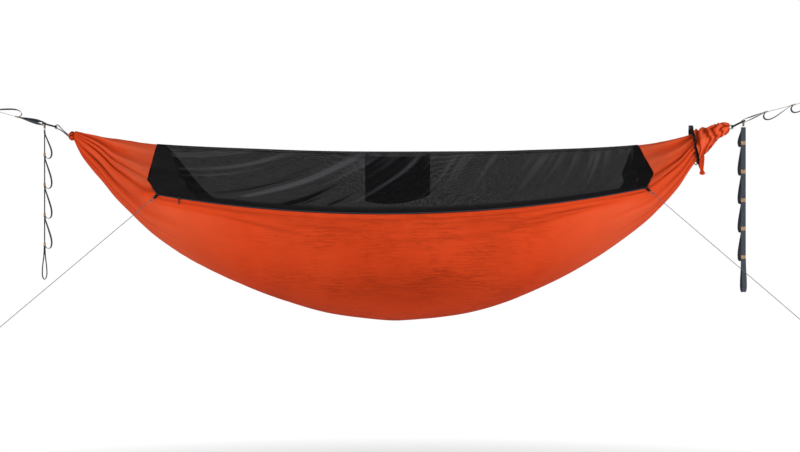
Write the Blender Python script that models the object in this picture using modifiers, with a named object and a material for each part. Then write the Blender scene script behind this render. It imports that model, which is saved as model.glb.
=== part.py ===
"""Gathered-end hammock with a zipped insect net, hung between two tree straps.

X runs along the hammock, Y away from the side with the zip, Z up. The shape is worked out in a
frame whose zero is at mid-span on the line between the two carabiners' bearing points, and the
finished assembly is then moved so that its origin is the eye of the left tree strap.
Run it with: blender --background --python part.py
"""

import math

import bmesh
import bpy
from mathutils import Matrix, Vector

# Overall cloth, in metres
CLOTH_LEFT = 1.238            # mid-span to the left gathered end
CLOTH_RIGHT = 1.212           # and to the right one, inside the stuff sack
RIDGE_SAG = 0.093             # ridge seam below the suspension line at mid-span
BED_DEPTH = 0.733             # lowest point of the bed below the suspension line
HEM_HALF_WIDTH = 0.420        # half the opening between the two hems at mid-span
HEM_DROP = 0.331              # hem below the suspension line at mid-span
HEM_RADIUS = 3.071            # the near hem is a flat arc of this radius
HEM_LOW_X = -0.063            # where the hem arc is lowest
HEM_LEAN = math.radians(37.7)  # slope of the plane that the hem arc lies in
WINDOW_LEFT = -0.928          # ends of the net opening, measured at the ridge seam
WINDOW_RIGHT = 0.901
WINDOW_TURN = 0.75            # the end seams turn inward three quarters of the way to the hem
GATHER_RADIUS = 0.011         # the cloth's last ring, at each gathered end
CLOTH = 0.0012                # drawn thickness of the bed's cloth with its seams
NET = 0.0010                  # drawn thickness of the net and the pocket
SEAM_GAP = 0.0004             # half of the gap left at a seam between two separate sheets
PLEAT_DEPTH = 0.005           # how far the pleats stand in and out at the gathered ends

# Zip and tie-outs
COIL_RADIUS = 0.0026
ZIP_SETBACK = 0.0036          # each sheet stops this far from the zip's centre line
TAB_LENGTH = 0.016
TAB_WIDTH = 0.012
TAB_THICK = 0.0022
TAB_ROOM = 0.0013             # the coil curves away from the tab's straight end
GUY_RADIUS = 0.0011

# Cords
RIDGELINE_RADIUS = 0.0015
RIDGELINE_DROP = 0.009        # the ridgeline runs this far under the ridge seam
SUSPENSION_RADIUS = 0.0020
SWING_ROOM = 0.0070           # the suspension cord's legs stand this far off the carabiner's rod

# Tree straps
WEB_WIDTH = 0.020
WEB_THICK = 0.0014
TACK_HEIGHT = 0.014
LOOP_BULGE = 0.027
EYE_LENGTH = 0.072
EYE_HALF_HEIGHT = 0.013
END_LOOP = 0.128
END_LOOP_HALF = 0.009
TAIL_PITCH = {"left": 0.114, "right": 0.1085}
TAIL_FIRST = {"left": 0.098, "right": 0.062}
TAIL_TACKS = {"left": 4, "right": 5}
TAIL_TWIST = {"left": 0.0, "right": math.radians(-72)}

# Carabiners
BINER_LENGTH = 0.062
BINER_WIDTH = 0.036
ROD = 0.0035
GATE_ROD = 0.0030
GATE_LENGTH = 0.025           # of the opening in the rod
RIVET = 0.0011
BINER_SLOPE = {"left": math.radians(-15), "right": math.radians(26)}
BEARING_X = {"left": -1.3085, "right": 1.256}

# Pocket, zip slider, stuff sack and cord lock
POCKET_X = -0.013
POCKET_WIDTH = 0.247
POCKET_DEPTH = 0.166
POCKET_SLACK = 0.006
POCKET_ROOM = 0.0012          # the hangers' clearance on the ridgeline
SLIDER_X = -0.800
KNOB_RADIUS = {"left": 0.0165, "right": 0.0125}
SACK_START = 1.098
SACK_END = 1.246
SACK_SIDES = 20
SACK_ROOM = 0.0040
SACK_RUFFLE = 0.0100
SACK_CORNER_X = 1.140
DRAW_RADIUS = 0.0020
DRAW_LIFT = 0.0022            # from the sack's highest folds to the middle of the cord
DRAW_PLACE = 0.8              # where the drawcord's ends leave the mouth, in sack sides

# Hand-chosen places of the bar tacks on each main run, from the hammock to the tree
RUN_TACKS = {
    "left": [(-1.459, 0.038), (-1.563, 0.0685)],
    "right": [(1.387, 0.057), (1.4915, 0.084), (1.596, 0.111)]}
OPEN_LOOP = {"left": 0.026, "right": 0.030}
GUY_END = {"left": (-1.3845, -0.752, -0.739), "right": (1.373, -0.752, -0.710)}

GAP = 0.0003
SIDES = {"left": -1, "right": 1}


# Scene and materials

def clear_scene():
    for item in list(bpy.data.objects):
        bpy.data.objects.remove(item, do_unlink=True)


def collection(name):
    group = bpy.data.collections.new(name)
    bpy.context.scene.collection.children.link(group)
    return group


def material(name, colour, roughness, metallic=0.0):
    made = bpy.data.materials.new(name)
    made.use_nodes = True
    surface = made.node_tree.nodes["Principled BSDF"]
    surface.inputs["Base Color"].default_value = (*colour, 1.0)
    surface.inputs["Roughness"].default_value = roughness
    surface.inputs["Metallic"].default_value = metallic
    return made


clear_scene()
PARTS = collection("hammock")
CUTTERS = collection("cutters")
ORANGE = material("ripstop_orange", (0.60, 0.06, 0.015), 0.55)
BLACK_NET = material("insect_net", (0.02, 0.02, 0.025), 0.60)
BLACK_CLOTH = material("black_cloth", (0.010, 0.009, 0.011), 0.70)
WEBBING = material("grey_webbing", (0.055, 0.060, 0.075), 0.75)
GREY_CORD = material("grey_cord", (0.18, 0.18, 0.19), 0.60)
BLACK_CORD = material("black_cord", (0.012, 0.012, 0.013), 0.60)
BLACK_METAL = material("anodised_black", (0.015, 0.015, 0.016), 0.35, 0.8)
STEEL = material("steel", (0.50, 0.50, 0.50), 0.30, 1.0)
BLACK_PLASTIC = material("black_plastic", (0.010, 0.010, 0.010), 0.40)


# Shared modelling helpers

def add(name, mesh, surface, group=None):
    mesh.materials.clear()
    mesh.materials.append(surface)
    item = bpy.data.objects.new(name, mesh)
    (group or PARTS).objects.link(item)
    return item


def smooth_through(points):
    """A smooth function of x through a few (x, value) points."""
    slopes = []
    for index in range(len(points)):
        before = points[max(index - 1, 0)]
        after = points[min(index + 1, len(points) - 1)]
        slopes.append((after[1] - before[1]) / (after[0] - before[0]))

    def value(x):
        index = 0
        while index < len(points) - 2 and x > points[index + 1][0]:
            index += 1
        start, end = points[index], points[index + 1]
        span = end[0] - start[0]
        u = (x - start[0]) / span
        rise = (2 * u ** 3 - 3 * u ** 2 + 1) * start[1] + (3 * u ** 2 - 2 * u ** 3) * end[1]
        lean = (u ** 3 - 2 * u ** 2 + u) * slopes[index] + (u ** 3 - u ** 2) * slopes[index + 1]
        return rise + lean * span
    return value


def smooth_route(points, count):
    """Points along a smooth curve through the route's own points."""
    route = [Vector(point) for point in points]
    ends = [2 * route[0] - route[1], *route, 2 * route[-1] - route[-2]]
    steps = []
    for index in range(len(route) - 1):
        steps.append((route[index + 1] - route[index]).length)
    total = sum(steps)
    made = []
    for step in range(count + 1):
        left = total * step / count
        index = 0
        while index < len(steps) - 1 and left > steps[index]:
            left -= steps[index]
            index += 1
        u = min(left / steps[index], 1.0)
        a, b, c, d = ends[index:index + 4]
        bend = (2 * a - 5 * b + 4 * c - d) * u + (3 * (b - c) + d - a) * u * u
        made.append(b + 0.5 * u * ((c - a) + bend))
    return made


def sheet(name, rows, thickness, surface, closed=False, group=None):
    """A sheet over a grid of points, given its thickness; closed joins each row's two ends."""
    shape = bmesh.new()
    grid = []
    for row in rows:
        grid.append([shape.verts.new(point) if point is not None else None for point in row])
    for upper, lower in zip(grid, grid[1:]):
        around = len(upper) if closed else len(upper) - 1
        for index in range(around):
            after = (index + 1) % len(upper)
            corners = (upper[index], upper[after], lower[after], lower[index])
            if None not in corners:
                shape.faces.new(corners)
    for point in [point for point in shape.verts if not point.link_faces]:
        shape.verts.remove(point)
    bmesh.ops.recalc_face_normals(shape, faces=shape.faces)
    mesh = bpy.data.meshes.new(name)
    shape.to_mesh(mesh)
    shape.free()
    mesh.shade_smooth()
    item = add(name, mesh, surface, group)
    wall = item.modifiers.new("thickness", "SOLIDIFY")
    wall.thickness = thickness
    wall.offset = 0.0
    return item


def tube(name, points, radius, surface, cyclic=False, resolution=2, group=None):
    """A round cord or rod along a list of points."""
    curve = bpy.data.curves.new(name, "CURVE")
    curve.dimensions = "3D"
    curve.bevel_depth = radius
    curve.bevel_resolution = resolution
    curve.use_fill_caps = True
    line = curve.splines.new("POLY")
    line.points.add(len(points) - 1)
    for knot, point in zip(line.points, points):
        knot.co = (*point, 1.0)
    line.use_cyclic_u = cyclic
    curve.materials.append(surface)
    item = bpy.data.objects.new(name, curve)
    (group or PARTS).objects.link(item)
    return item


def as_mesh(item):
    """Turn a curve into a mesh with welded caps, so that it can be cut or joined."""
    bpy.context.view_layer.update()
    evaluated = item.evaluated_get(bpy.context.evaluated_depsgraph_get())
    mesh = bpy.data.meshes.new_from_object(evaluated)
    shape = bmesh.new()
    shape.from_mesh(mesh)
    bmesh.ops.remove_doubles(shape, verts=shape.verts, dist=0.00001)
    bmesh.ops.recalc_face_normals(shape, faces=shape.faces)
    shape.to_mesh(mesh)
    shape.free()
    mesh.shade_smooth()
    name = item.name
    group = item.users_collection[0]
    surface = item.data.materials[0]
    place = item.matrix_world.copy()
    bpy.data.objects.remove(item, do_unlink=True)
    made = add(name, mesh, surface, group)
    made.name = name
    made.matrix_world = place
    return made


def box(name, size, centre, surface, turn=None, group=None):
    shape = bmesh.new()
    bmesh.ops.create_cube(shape, size=1.0)
    bmesh.ops.scale(shape, vec=size, verts=shape.verts)
    mesh = bpy.data.meshes.new(name)
    shape.to_mesh(mesh)
    shape.free()
    item = add(name, mesh, surface, group)
    item.matrix_world = Matrix.Translation(centre) @ (turn or Matrix.Identity(4))
    return item


def pin(name, radius, depth, centre, turn, surface, sides=16, group=None):
    shape = bmesh.new()
    bmesh.ops.create_cone(
        shape, cap_ends=True, segments=sides, radius1=radius, radius2=radius, depth=depth)
    mesh = bpy.data.meshes.new(name)
    shape.to_mesh(mesh)
    shape.free()
    mesh.shade_smooth()
    mesh.set_sharp_from_angle(angle=math.radians(40))
    item = add(name, mesh, surface, group)
    item.matrix_world = Matrix.Translation(centre) @ turn
    return item


def combine(item, other, operation):
    """Join or cut with another object, which then only guides."""
    tool = item.modifiers.new(operation.lower(), "BOOLEAN")
    tool.operation = operation
    tool.object = other
    other.hide_render = True
    other.display_type = "WIRE"
    for group in list(other.users_collection):
        group.objects.unlink(other)
    CUTTERS.objects.link(other)


# The hammock's outline, as smooth functions of the place along its length

ridge_curve = smooth_through([
    (-1.0, -0.13), (-0.87, -0.44), (-0.748, -0.70), (-0.37, -0.93), (-0.16, -1.0),
    (0.16, -1.0), (0.37, -0.96), (0.743, -0.73), (0.89, -0.35), (1.0, 0.04)])
belly_curve = smooth_through([
    (-1.0, -0.0465), (-0.972, -0.156), (-0.916, -0.270), (-0.861, -0.383), (-0.732, -0.585),
    (-0.616, -0.711), (-0.432, -0.850), (-0.248, -0.944), (0.0, -1.0), (0.216, -0.954),
    (0.404, -0.855), (0.592, -0.694), (0.749, -0.507), (0.859, -0.322), (0.906, -0.205),
    (0.953, -0.110), (1.0, -0.025)])


def cloth_end(x):
    return CLOTH_LEFT if x < 0 else CLOTH_RIGHT


def ridge_z(x):
    return RIDGE_SAG * ridge_curve(x / cloth_end(x))


def belly_z(x):
    return BED_DEPTH * belly_curve(x / cloth_end(x))


def hem_rise(x):
    """How far the hem arc has risen, in its own plane, from its lowest point."""
    return HEM_RADIUS - math.sqrt(HEM_RADIUS ** 2 - (x - HEM_LOW_X) ** 2)


def window_end(x):
    return WINDOW_LEFT if x < 0 else WINDOW_RIGHT


def end_share(x):
    """0 at the net opening's end, 1 at the gathered end."""
    start = abs(window_end(x)) + 0.006
    return min(max((abs(x) - start) / (cloth_end(x) - start), 0.0), 1.0)


def hem_point(x):
    """The near hem's Y and Z, running on into the gathered ends."""
    share = end_share(x)
    inner = x if share == 0 else math.copysign(abs(window_end(x)) + 0.006, x)
    out = HEM_HALF_WIDTH - hem_rise(inner) * math.cos(HEM_LEAN)
    height = -HEM_DROP + hem_rise(inner) * math.sin(HEM_LEAN)
    if share == 0:
        return -out, height
    part_down = (ridge_z(inner) - height) / (ridge_z(inner) - belly_z(inner))
    part_down += (0.5 - part_down) * share
    width = GATHER_RADIUS + (out - GATHER_RADIUS) * (1 - share) ** 1.6
    return -width, ridge_z(x) + (belly_z(x) - ridge_z(x)) * part_down


def seam_shift(x, down):
    """How far a line across the cloth is pulled along X by the net opening's end seams."""
    slant = (-0.004 if x < 0 else 0.032) * min(down / WINDOW_TURN, 1.0)
    turn = (0.050 if x < 0 else -0.040) * max((down - WINDOW_TURN) / (1 - WINDOW_TURN), 0.0)
    distance = abs(x) - abs(window_end(x))
    reach = 0.24 if distance > 0 else 0.36
    return (slant + turn) * max(1 - abs(distance) / reach, 0.0)


def upper_point(x, down, side=-1):
    """On the upper panel: down is 0 at the ridge seam and 1 at the hem."""
    x += seam_shift(x, down)
    out, height = hem_point(x)
    top = ridge_z(x)
    return Vector((x, -side * out * down, top + (height - top) * down))


def belly_point(x, angle):
    """On the bed: angle runs from 0 at the near hem to pi at the far hem."""
    x += seam_shift(x, 1.0) * abs(math.cos(angle))
    out, height = hem_point(x)
    drop = height - belly_z(x)
    return Vector((x, out * math.cos(angle), height - drop * math.sin(angle)))


def gather_centre(x):
    return Vector((x, 0.0, (ridge_z(x) + belly_z(x)) / 2))


def ring_point(x, place, panel, belly, pleated=True):
    """A point of the closed ring round the cloth; place counts round from the ridge seam."""
    around = 2 * panel + belly
    if place <= panel:
        point = upper_point(x, place / panel)
    elif place < panel + belly:
        point = belly_point(x, math.pi * (place - panel) / belly)
    else:
        point = upper_point(x, (around - place) / panel, side=1)
    share = end_share(x)
    centre = gather_centre(point.x)
    round_share = min(max((share - 0.45) / 0.55, 0.0), 1.0)
    round_share = round_share ** 2 * (3 - 2 * round_share)
    turn = 2 * math.pi * place / around
    radius = (ridge_z(point.x) - belly_z(point.x)) / 2
    on_circle = centre + Vector((0.0, -math.sin(turn), math.cos(turn))) * radius
    point = point.lerp(on_circle, round_share)
    if pleated and 0 < place < around and 0 < share < 1:
        pleat = PLEAT_DEPTH * math.sin(math.pi * share) ** 0.7
        point += (point - centre).normalized() * pleat * (1 if place % 2 else -1)
    return point


# Soft parts

PANEL_STEPS = 5
BELLY_STEPS = 16
END_SHARES = (0.0, 0.16, 0.34, 0.52, 0.69, 0.85, 1.0)
MIDDLE_STEPS = 16


def end_stations(side):
    start = window_end(side)
    return [start + side * (cloth_end(side) - abs(start)) * share for share in END_SHARES]


def make_bed():
    """One sheet: closed round both gathered ends, open at the top between them."""
    around = 2 * PANEL_STEPS + BELLY_STEPS
    middle = []
    for step in range(1, MIDDLE_STEPS):
        middle.append(WINDOW_LEFT + (WINDOW_RIGHT - WINDOW_LEFT) * step / MIDDLE_STEPS)
    rows = []
    for x in [*reversed(end_stations(-1)), *middle, *end_stations(1)]:
        row = []
        at_seam = x in (WINDOW_LEFT, WINDOW_RIGHT)
        for place in range(around):
            if at_seam:
                row.append(seam_point(x, place, around))
            elif x in middle and not PANEL_STEPS <= place <= PANEL_STEPS + BELLY_STEPS:
                row.append(None)
            else:
                row.append(hem_cut(x, place))
        rows.append(row)
    return sheet("bed", rows, CLOTH, ORANGE, closed=True)


def hem_cut(x, place):
    """Between the seams the bed's edge stops a little below the hem line, for the zip."""
    point = ring_point(x, place, PANEL_STEPS, BELLY_STEPS)
    if WINDOW_LEFT < x < WINDOW_RIGHT and place in (PANEL_STEPS, PANEL_STEPS + BELLY_STEPS):
        point.z -= ZIP_SETBACK
    return point


def seam_point(x, place, around):
    """On the end seam the bed's edge is set back, by the zip's room below the turn."""
    point = ring_point(x, place, PANEL_STEPS, BELLY_STEPS)
    outward = math.copysign(1.0, x)
    beside = min(place, around - place)
    if beside < PANEL_STEPS:
        point.x += outward * (SEAM_GAP if beside / PANEL_STEPS < WINDOW_TURN else 1.5 * ZIP_SETBACK)
    elif beside == PANEL_STEPS:
        point += Vector((outward * ZIP_SETBACK, 0.0, -ZIP_SETBACK))
    return point


def gusset_line(side, down):
    """Where the black end gusset meets the net."""
    if side < 0:
        return -0.870 + 0.128 * down
    return 0.884 - 0.034 * down


def net_panel(name, across, first, last, surface, side, top_gap):
    """One panel between the ridge seam and the hem, between two lines across the opening."""
    rows = []
    for step in range(across + 1):
        row = []
        for place in range(PANEL_STEPS + 1):
            down = place / PANEL_STEPS
            x = first(down) + (last(down) - first(down)) * step / across
            point = upper_point(x, down, side)
            direction = (upper_point(x, 1.0, side) - upper_point(x, 0.0, side)).normalized()
            if place == 0:
                point += direction * top_gap
            if place == PANEL_STEPS:
                point -= direction * ZIP_SETBACK
            row.append(point)
        rows.append(row)
    return sheet(name, rows, NET, surface)


def seam_side(side, down):
    """The net's edge beside the end seam, and beside the zip below the turn."""
    back = SEAM_GAP if down < WINDOW_TURN else 1.5 * ZIP_SETBACK
    return window_end(side) - side * back


def make_net(side, word):
    """Net and two end gussets; side -1 is the near panel, 1 the far one."""
    left = SEAM_GAP
    net_panel(
        word, 14, lambda down: gusset_line(-1, down) + left,
        lambda down: gusset_line(1, down) - left, BLACK_NET, side, 0.0014)
    for name, end in SIDES.items():
        net_panel(
            f"{word}_gusset_{name}", 2,
            lambda down, end=end: seam_side(end, down),
            lambda down, end=end: gusset_line(end, down) + end * left,
            BLACK_CLOTH, side, 0.0014)


def zip_line(side):
    """Round both corners and along the hem, from turn to turn."""
    points = []
    for down in (WINDOW_TURN + 0.09, 0.92, 1.0):
        points.append(upper_point(WINDOW_LEFT, down, side))
    steps = 40
    for step in range(1, steps):
        x = WINDOW_LEFT + (WINDOW_RIGHT - WINDOW_LEFT) * step / steps
        points.append(upper_point(x, 1.0, side))
    for down in (1.0, 0.92, WINDOW_TURN + 0.09):
        points.append(upper_point(WINDOW_RIGHT, down, side))
    return points


def lobed_turning(name, side, profile, centre, surface, lobes=9, sides=36):
    """A bunched, turned form along X; the profile gives reach outward, radius and fold depth."""
    rows = []
    for reach, radius, depth in profile:
        row = []
        for step in range(sides):
            turn = 2 * math.pi * step / sides
            folded = radius * (1 + depth * math.cos(lobes * turn))
            row.append(Vector((
                centre.x + side * reach, -side * math.sin(turn) * folded,
                centre.z + math.cos(turn) * folded)))
        rows.append(row)
    shape = bmesh.new()
    grid = [[shape.verts.new(point) for point in row] for row in rows]
    for upper, lower in zip(grid, grid[1:]):
        for index in range(sides):
            after = (index + 1) % sides
            shape.faces.new((upper[index], lower[index], lower[after], upper[after]))
    shape.faces.new(list(reversed(grid[0])))
    shape.faces.new(grid[-1])
    bmesh.ops.recalc_face_normals(shape, faces=shape.faces)
    mesh = bpy.data.meshes.new(name)
    shape.to_mesh(mesh)
    shape.free()
    mesh.shade_smooth()
    mesh.set_sharp_from_angle(angle=math.radians(60))
    return add(name, mesh, surface)


def make_gather(name, side):
    """The bunched end: a plug inside the cloth's last ring, a neck, and a knob with a socket."""
    centre = gather_centre(side * cloth_end(side))
    knob = KNOB_RADIUS[name.split("_")[1]]
    inside = GATHER_RADIUS - CLOTH / 2 - 0.0012
    lip = 0.0055
    profile = [
        (-0.0045, inside * 0.5, 0.0), (-0.0030, inside * 0.75, 0.0), (0.0008, inside, 0.0),
        (0.0030, knob * 0.82, 0.08), (0.009, knob * 0.97, 0.10), (0.016, knob, 0.10),
        (0.021, knob * 0.78, 0.08), (0.024, lip + 0.002, 0.0), (0.023, lip, 0.0),
        (0.012, lip, 0.0)]
    return lobed_turning(name, side, profile, centre, ORANGE)


def make_suspension(name, side):
    """One cord: out of the gathered end, round the carabiner's rod and back in."""
    centre = gather_centre(side * cloth_end(side))
    rod = Vector((BEARING_X[name.split("_")[1]], 0.0, 0.0))
    start = Vector((centre.x + side * 0.0134, 0.0, centre.z))
    mouth = Vector((centre.x + side * 0.024, 0.0, centre.z))
    beside = SUSPENSION_RADIUS + 0.0007
    turn_radius = SWING_ROOM
    beyond = ROD + SUSPENSION_RADIUS + GAP
    up = Vector((0.0, 0.0, 1.0))
    legs = []
    for way in (1, -1):
        inner = [start + up * (way * beside), mouth + up * (way * beside)]
        at_rod = rod + Vector((-side * 0.006, 0.0, way * turn_radius))
        first = inner[1].lerp(at_rod, 0.12)
        legs.append([inner[0], inner[0].lerp(inner[1], 0.6), inner[1], first, at_rod])
    route = legs[0]
    for step in range(1, 8):
        turn = math.pi * step / 8
        route.append(rod + Vector((
            side * math.sin(turn) * beyond, 0.0, math.cos(turn) * turn_radius)))
    route += reversed(legs[1])
    return tube(name, smooth_route(route, 30), SUSPENSION_RADIUS, GREY_CORD)


def make_ridgeline():
    """The structural cord inside the ridge seam, from one gathered end's plug to the other's."""
    route = []
    left = -CLOTH_LEFT + 0.0050
    right = CLOTH_RIGHT - 0.0050
    steps = 12
    for step in range(steps + 1):
        x = left + (right - left) * step / steps
        height = ridge_z(x) - RIDGELINE_DROP
        if step in (0, steps):
            height = gather_centre(math.copysign(cloth_end(x), x)).z
        route.append((x, 0.0, height))
    return tube("ridgeline", smooth_route(route, 36), RIDGELINE_RADIUS, GREY_CORD)


def make_pocket():
    """A pouch folded from one piece, hung on the ridgeline by two short loops of tape."""
    half = POCKET_WIDTH / 2
    cord = ridge_z(POCKET_X) - RIDGELINE_DROP
    rows = []
    for step in range(9):
        across = -1 + 2 * step / 8
        x = POCKET_X + half * across
        top = cord - 0.008 - 0.004 * (1 - across ** 2)
        bottom = cord - POCKET_DEPTH - 0.022 * (1 - across ** 2) + 0.012 * across
        deep = 0.0012 + POCKET_SLACK * (1 - across ** 4)
        row = []
        for share, out in ((0, 1.0), (0.35, 1.2), (0.75, 1.3), (0.96, 0.8)):
            row.append(Vector((x, -deep * out, top + (bottom - top) * share)))
        row.append(Vector((x, 0.0, bottom)))
        for point in reversed(row[:4]):
            row.append(Vector((x, -point.y, point.z)))
        rows.append(row)
    pocket = sheet("ridge_pocket", rows, NET, BLACK_CLOTH)
    room = RIDGELINE_RADIUS + POCKET_ROOM + NET / 2
    for end in (-1, 1):
        route = []
        for step in range(9):
            turn = math.pi * step / 8
            route.append((-math.cos(turn) * room, cord + math.sin(turn) * room))
        low = cord - 0.011
        route = [(-0.0014, low), (-0.0026, cord - 0.005), *route, (0.0026, cord - 0.005),
                 (0.0014, low)]
        strips = []
        for x in (half - 0.013, half - 0.004):
            strips.append([Vector((POCKET_X + end * x, y, z)) for y, z in route])
        hanger = sheet(f"pocket_hanger_{end}", strips, NET * 1.2, BLACK_CLOTH)
        combine(pocket, hanger, "UNION")


# Zip, tie-outs and guy lines

def arc_frame(x):
    """On the near hem's arc: place, and the directions along, down-out and up-out."""
    turn = math.asin((x - HEM_LOW_X) / HEM_RADIUS)
    outward = Vector((0.0, -math.cos(HEM_LEAN), -math.sin(HEM_LEAN)))
    along = Vector((1.0, 0.0, 0.0)) * math.cos(turn) - outward * math.sin(turn)
    down_out = outward * math.cos(turn) + Vector((1.0, 0.0, 0.0)) * math.sin(turn)
    out, height = hem_point(x)
    return Vector((x, out, height)), along, down_out, down_out.cross(along)


def framed(size, place, frame, name, surface, group=None):
    """A box set in the hem's own directions; size and place are along, down-out, up-out."""
    origin, along, down_out, up_out = frame
    turn = Matrix((down_out, along, up_out)).transposed().to_4x4()
    centre = origin + along * place[0] + down_out * place[1] + up_out * place[2]
    return box(name, (size[1], size[0], size[2]), centre, surface, turn, group)


def make_zip():
    tube("zip_coil", zip_line(-1), COIL_RADIUS, BLACK_PLASTIC, resolution=1)
    tube("far_hem_binding", zip_line(1), COIL_RADIUS, BLACK_CLOTH, resolution=1)
    frame = arc_frame(SLIDER_X)
    inner = COIL_RADIUS + 0.0005
    plate = 0.0012
    slider = framed(
        (0.012, 0.0063, plate), (0, 0.00125, inner + plate / 2), frame, "zip_slider", STEEL)
    flange = framed(
        (0.012, plate, 0.0055), (0, inner + 0.0007, 0.0014), frame, "slider_flange", STEEL)
    combine(slider, flange, "UNION")
    for side in (-1, 1):
        ear = framed(
            (0.0012, 0.0036, 0.0046), (side * 0.0033, 0.0044, inner + 0.0026), frame,
            f"slider_ear_{side}", STEEL)
        combine(slider, ear, "UNION")
    hinge = pull_hinge()
    turn = Vector((0, 0, 1)).rotation_difference(frame[1]).to_matrix().to_4x4()
    pull = pin("zip_pull", 0.0011, 0.0048, hinge, turn, STEEL)
    strip = box(
        "pull_strip", (0.0042, 0.0012, 0.024), hinge + Vector((0, 0, -0.0122)), STEEL)
    combine(pull, strip, "UNION")


def pull_hinge():
    origin, _, down_out, up_out = arc_frame(SLIDER_X)
    return origin + down_out * 0.0050 + up_out * 0.0062


def tie_out(end, side):
    """The tab's place on the hem, its directions out, across and square to it, and its hole."""
    seam = upper_point(window_end(end), 1.0, side)
    x, y, z = GUY_END["left" if end < 0 else "right"]
    away = (Vector((x, -side * y, z)) - seam).normalized()
    square = Vector((0.0, side * 0.6, 0.8))
    square = (square - away * square.dot(away)).normalized()
    hole = seam + away * (COIL_RADIUS + TAB_ROOM + TAB_LENGTH - 0.0058)
    return seam, away, square, hole


def make_tab(name, end, side):
    seam, away, square, hole = tie_out(end, side)
    turn = Matrix((square.cross(away), square, away)).transposed().to_4x4()
    centre = seam + away * (COIL_RADIUS + TAB_ROOM + TAB_LENGTH / 2)
    tab = box(name, (TAB_WIDTH, TAB_THICK, TAB_LENGTH), centre, BLACK_CLOTH, turn)
    through = turn @ Matrix.Rotation(math.radians(90), 4, "X")
    bore = pin(f"{name}_hole", 0.0026, 0.02, hole, through, BLACK_CLOTH)
    combine(tab, bore, "DIFFERENCE")


def make_guy(name, end):
    """A cord tied through the tab's hole, taut down to a tied loop just out of view."""
    _, pull, side, hole = tie_out(end, -1)
    far = Vector(GUY_END[name.split("_")[1]])
    knot = hole + pull * 0.021
    loop = [
        knot + side * 0.0030 + pull * -0.0010, hole + side * 0.0065 + pull * 0.010,
        hole + side * 0.0050 + pull * 0.0024, hole + pull * 0.0011,
        hole - side * 0.0050 + pull * 0.0024, hole - side * 0.0065 + pull * 0.010, knot,
        knot + pull * 0.030]
    eye = []
    for step in range(1, 12):
        turn = math.pi * (1.5 + 1.86 * step / 12)
        eye.append(far + pull * (0.045 + 0.022 * math.sin(turn)) + side * (
            0.010 * math.cos(turn)))
    points = smooth_route(loop, 20)
    points.append(far)
    points += smooth_route([far + pull * 0.008, *eye], 14)
    guy = as_mesh(tube(name, points, GUY_RADIUS, GREY_CORD))
    for where, word in ((knot, "knot"), (far + pull * 0.021, "end_knot")):
        shape = bmesh.new()
        bmesh.ops.create_uvsphere(shape, u_segments=12, v_segments=8, radius=0.0036)
        mesh = bpy.data.meshes.new(word)
        shape.to_mesh(mesh)
        shape.free()
        ball = add(f"{name}_{word}", mesh, GREY_CORD)
        ball.location = where
        combine(guy, ball, "UNION")


# Tree straps and carabiners

def biner_centre(name):
    side = SIDES[name]
    slope = BINER_SLOPE[name]
    reach = BINER_LENGTH / 2 - ROD
    away = Vector((side * math.cos(slope), 0.0, side * math.sin(slope)))
    return Vector((BEARING_X[name], 0.0, 0.0)) + away * reach, away


def biner_point(name, toward_tree, up):
    centre, away = biner_centre(name)
    upward = Vector((-math.sin(BINER_SLOPE[name]), 0.0, math.cos(BINER_SLOPE[name])))
    return centre + away * toward_tree + upward * up


def ribbon(name, route, group=None):
    """Webbing along a route in the XZ plane, as wide as the strap."""
    rows = []
    for point in route:
        row = []
        for y in (-WEB_WIDTH / 2, WEB_WIDTH / 2):
            row.append(Vector((point[0], y, point[-1])))
        rows.append(row)
    return sheet(name, rows, WEB_THICK, WEBBING, group=group)


def loop_route(start, end, bulge, past=0.014):
    """A slack loop between two bar tacks; it hangs past the second one and comes back to it."""
    start, end = Vector(start), Vector(end)
    along = (end - start).normalized()
    across = Vector((-along.z, 0.0, along.x))
    length = (end - start).length
    lift = math.copysign(0.0016, bulge)
    shape = [
        (0.004, lift), (0.16 * length, 0.12 * bulge), (0.45 * length, 0.62 * bulge),
        (0.74 * length, 0.98 * bulge), (0.93 * length, 0.92 * bulge),
        (length + 0.7 * past, 0.62 * bulge), (length + past, 0.30 * bulge),
        (length + 0.8 * past, 0.12 * bulge), (length + 0.004, lift)]
    return smooth_route([start + along * u + across * v for u, v in shape], 14)


def teardrop(start, along, length, half, lift):
    """A closed loop of webbing beyond a bar tack."""
    across = Vector((-along.z, 0.0, along.x))
    shape = [
        (0.0, lift), (0.25 * length, 0.60 * half), (0.6 * length, half),
        (0.9 * length, 0.75 * half), (length, 0.0), (0.9 * length, -0.75 * half),
        (0.6 * length, -half), (0.25 * length, -0.60 * half), (0.0, -lift)]
    return smooth_route([start + along * u + across * v for u, v in shape], 16)


def tack(name, centre, along, thick=0.0046):
    """The sewn bar tack that joins the bands of webbing."""
    turn = Vector((0, 0, 1)).rotation_difference(along).to_matrix().to_4x4()
    return box(name, (thick, WEB_WIDTH - 0.001, TACK_HEIGHT), centre, WEBBING, turn)


def fold_place(name):
    """The last tack of the main run, under the carabiner, where the tail is folded down."""
    return biner_point(name, 0.0171, -0.011)


def tail_hinge(name):
    return fold_place(name) + Vector((0.0, 0.0, -TACK_HEIGHT / 2 - 0.0012))


def tree_eye(name):
    """Middle of the sewn eye that takes the strap round the tree."""
    last, before = [Vector((x, 0.0, z)) for x, z in RUN_TACKS[name][-1:-3:-1]]
    along = (last - before).normalized()
    return last + along * (0.005 + EYE_LENGTH * 0.55)


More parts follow.
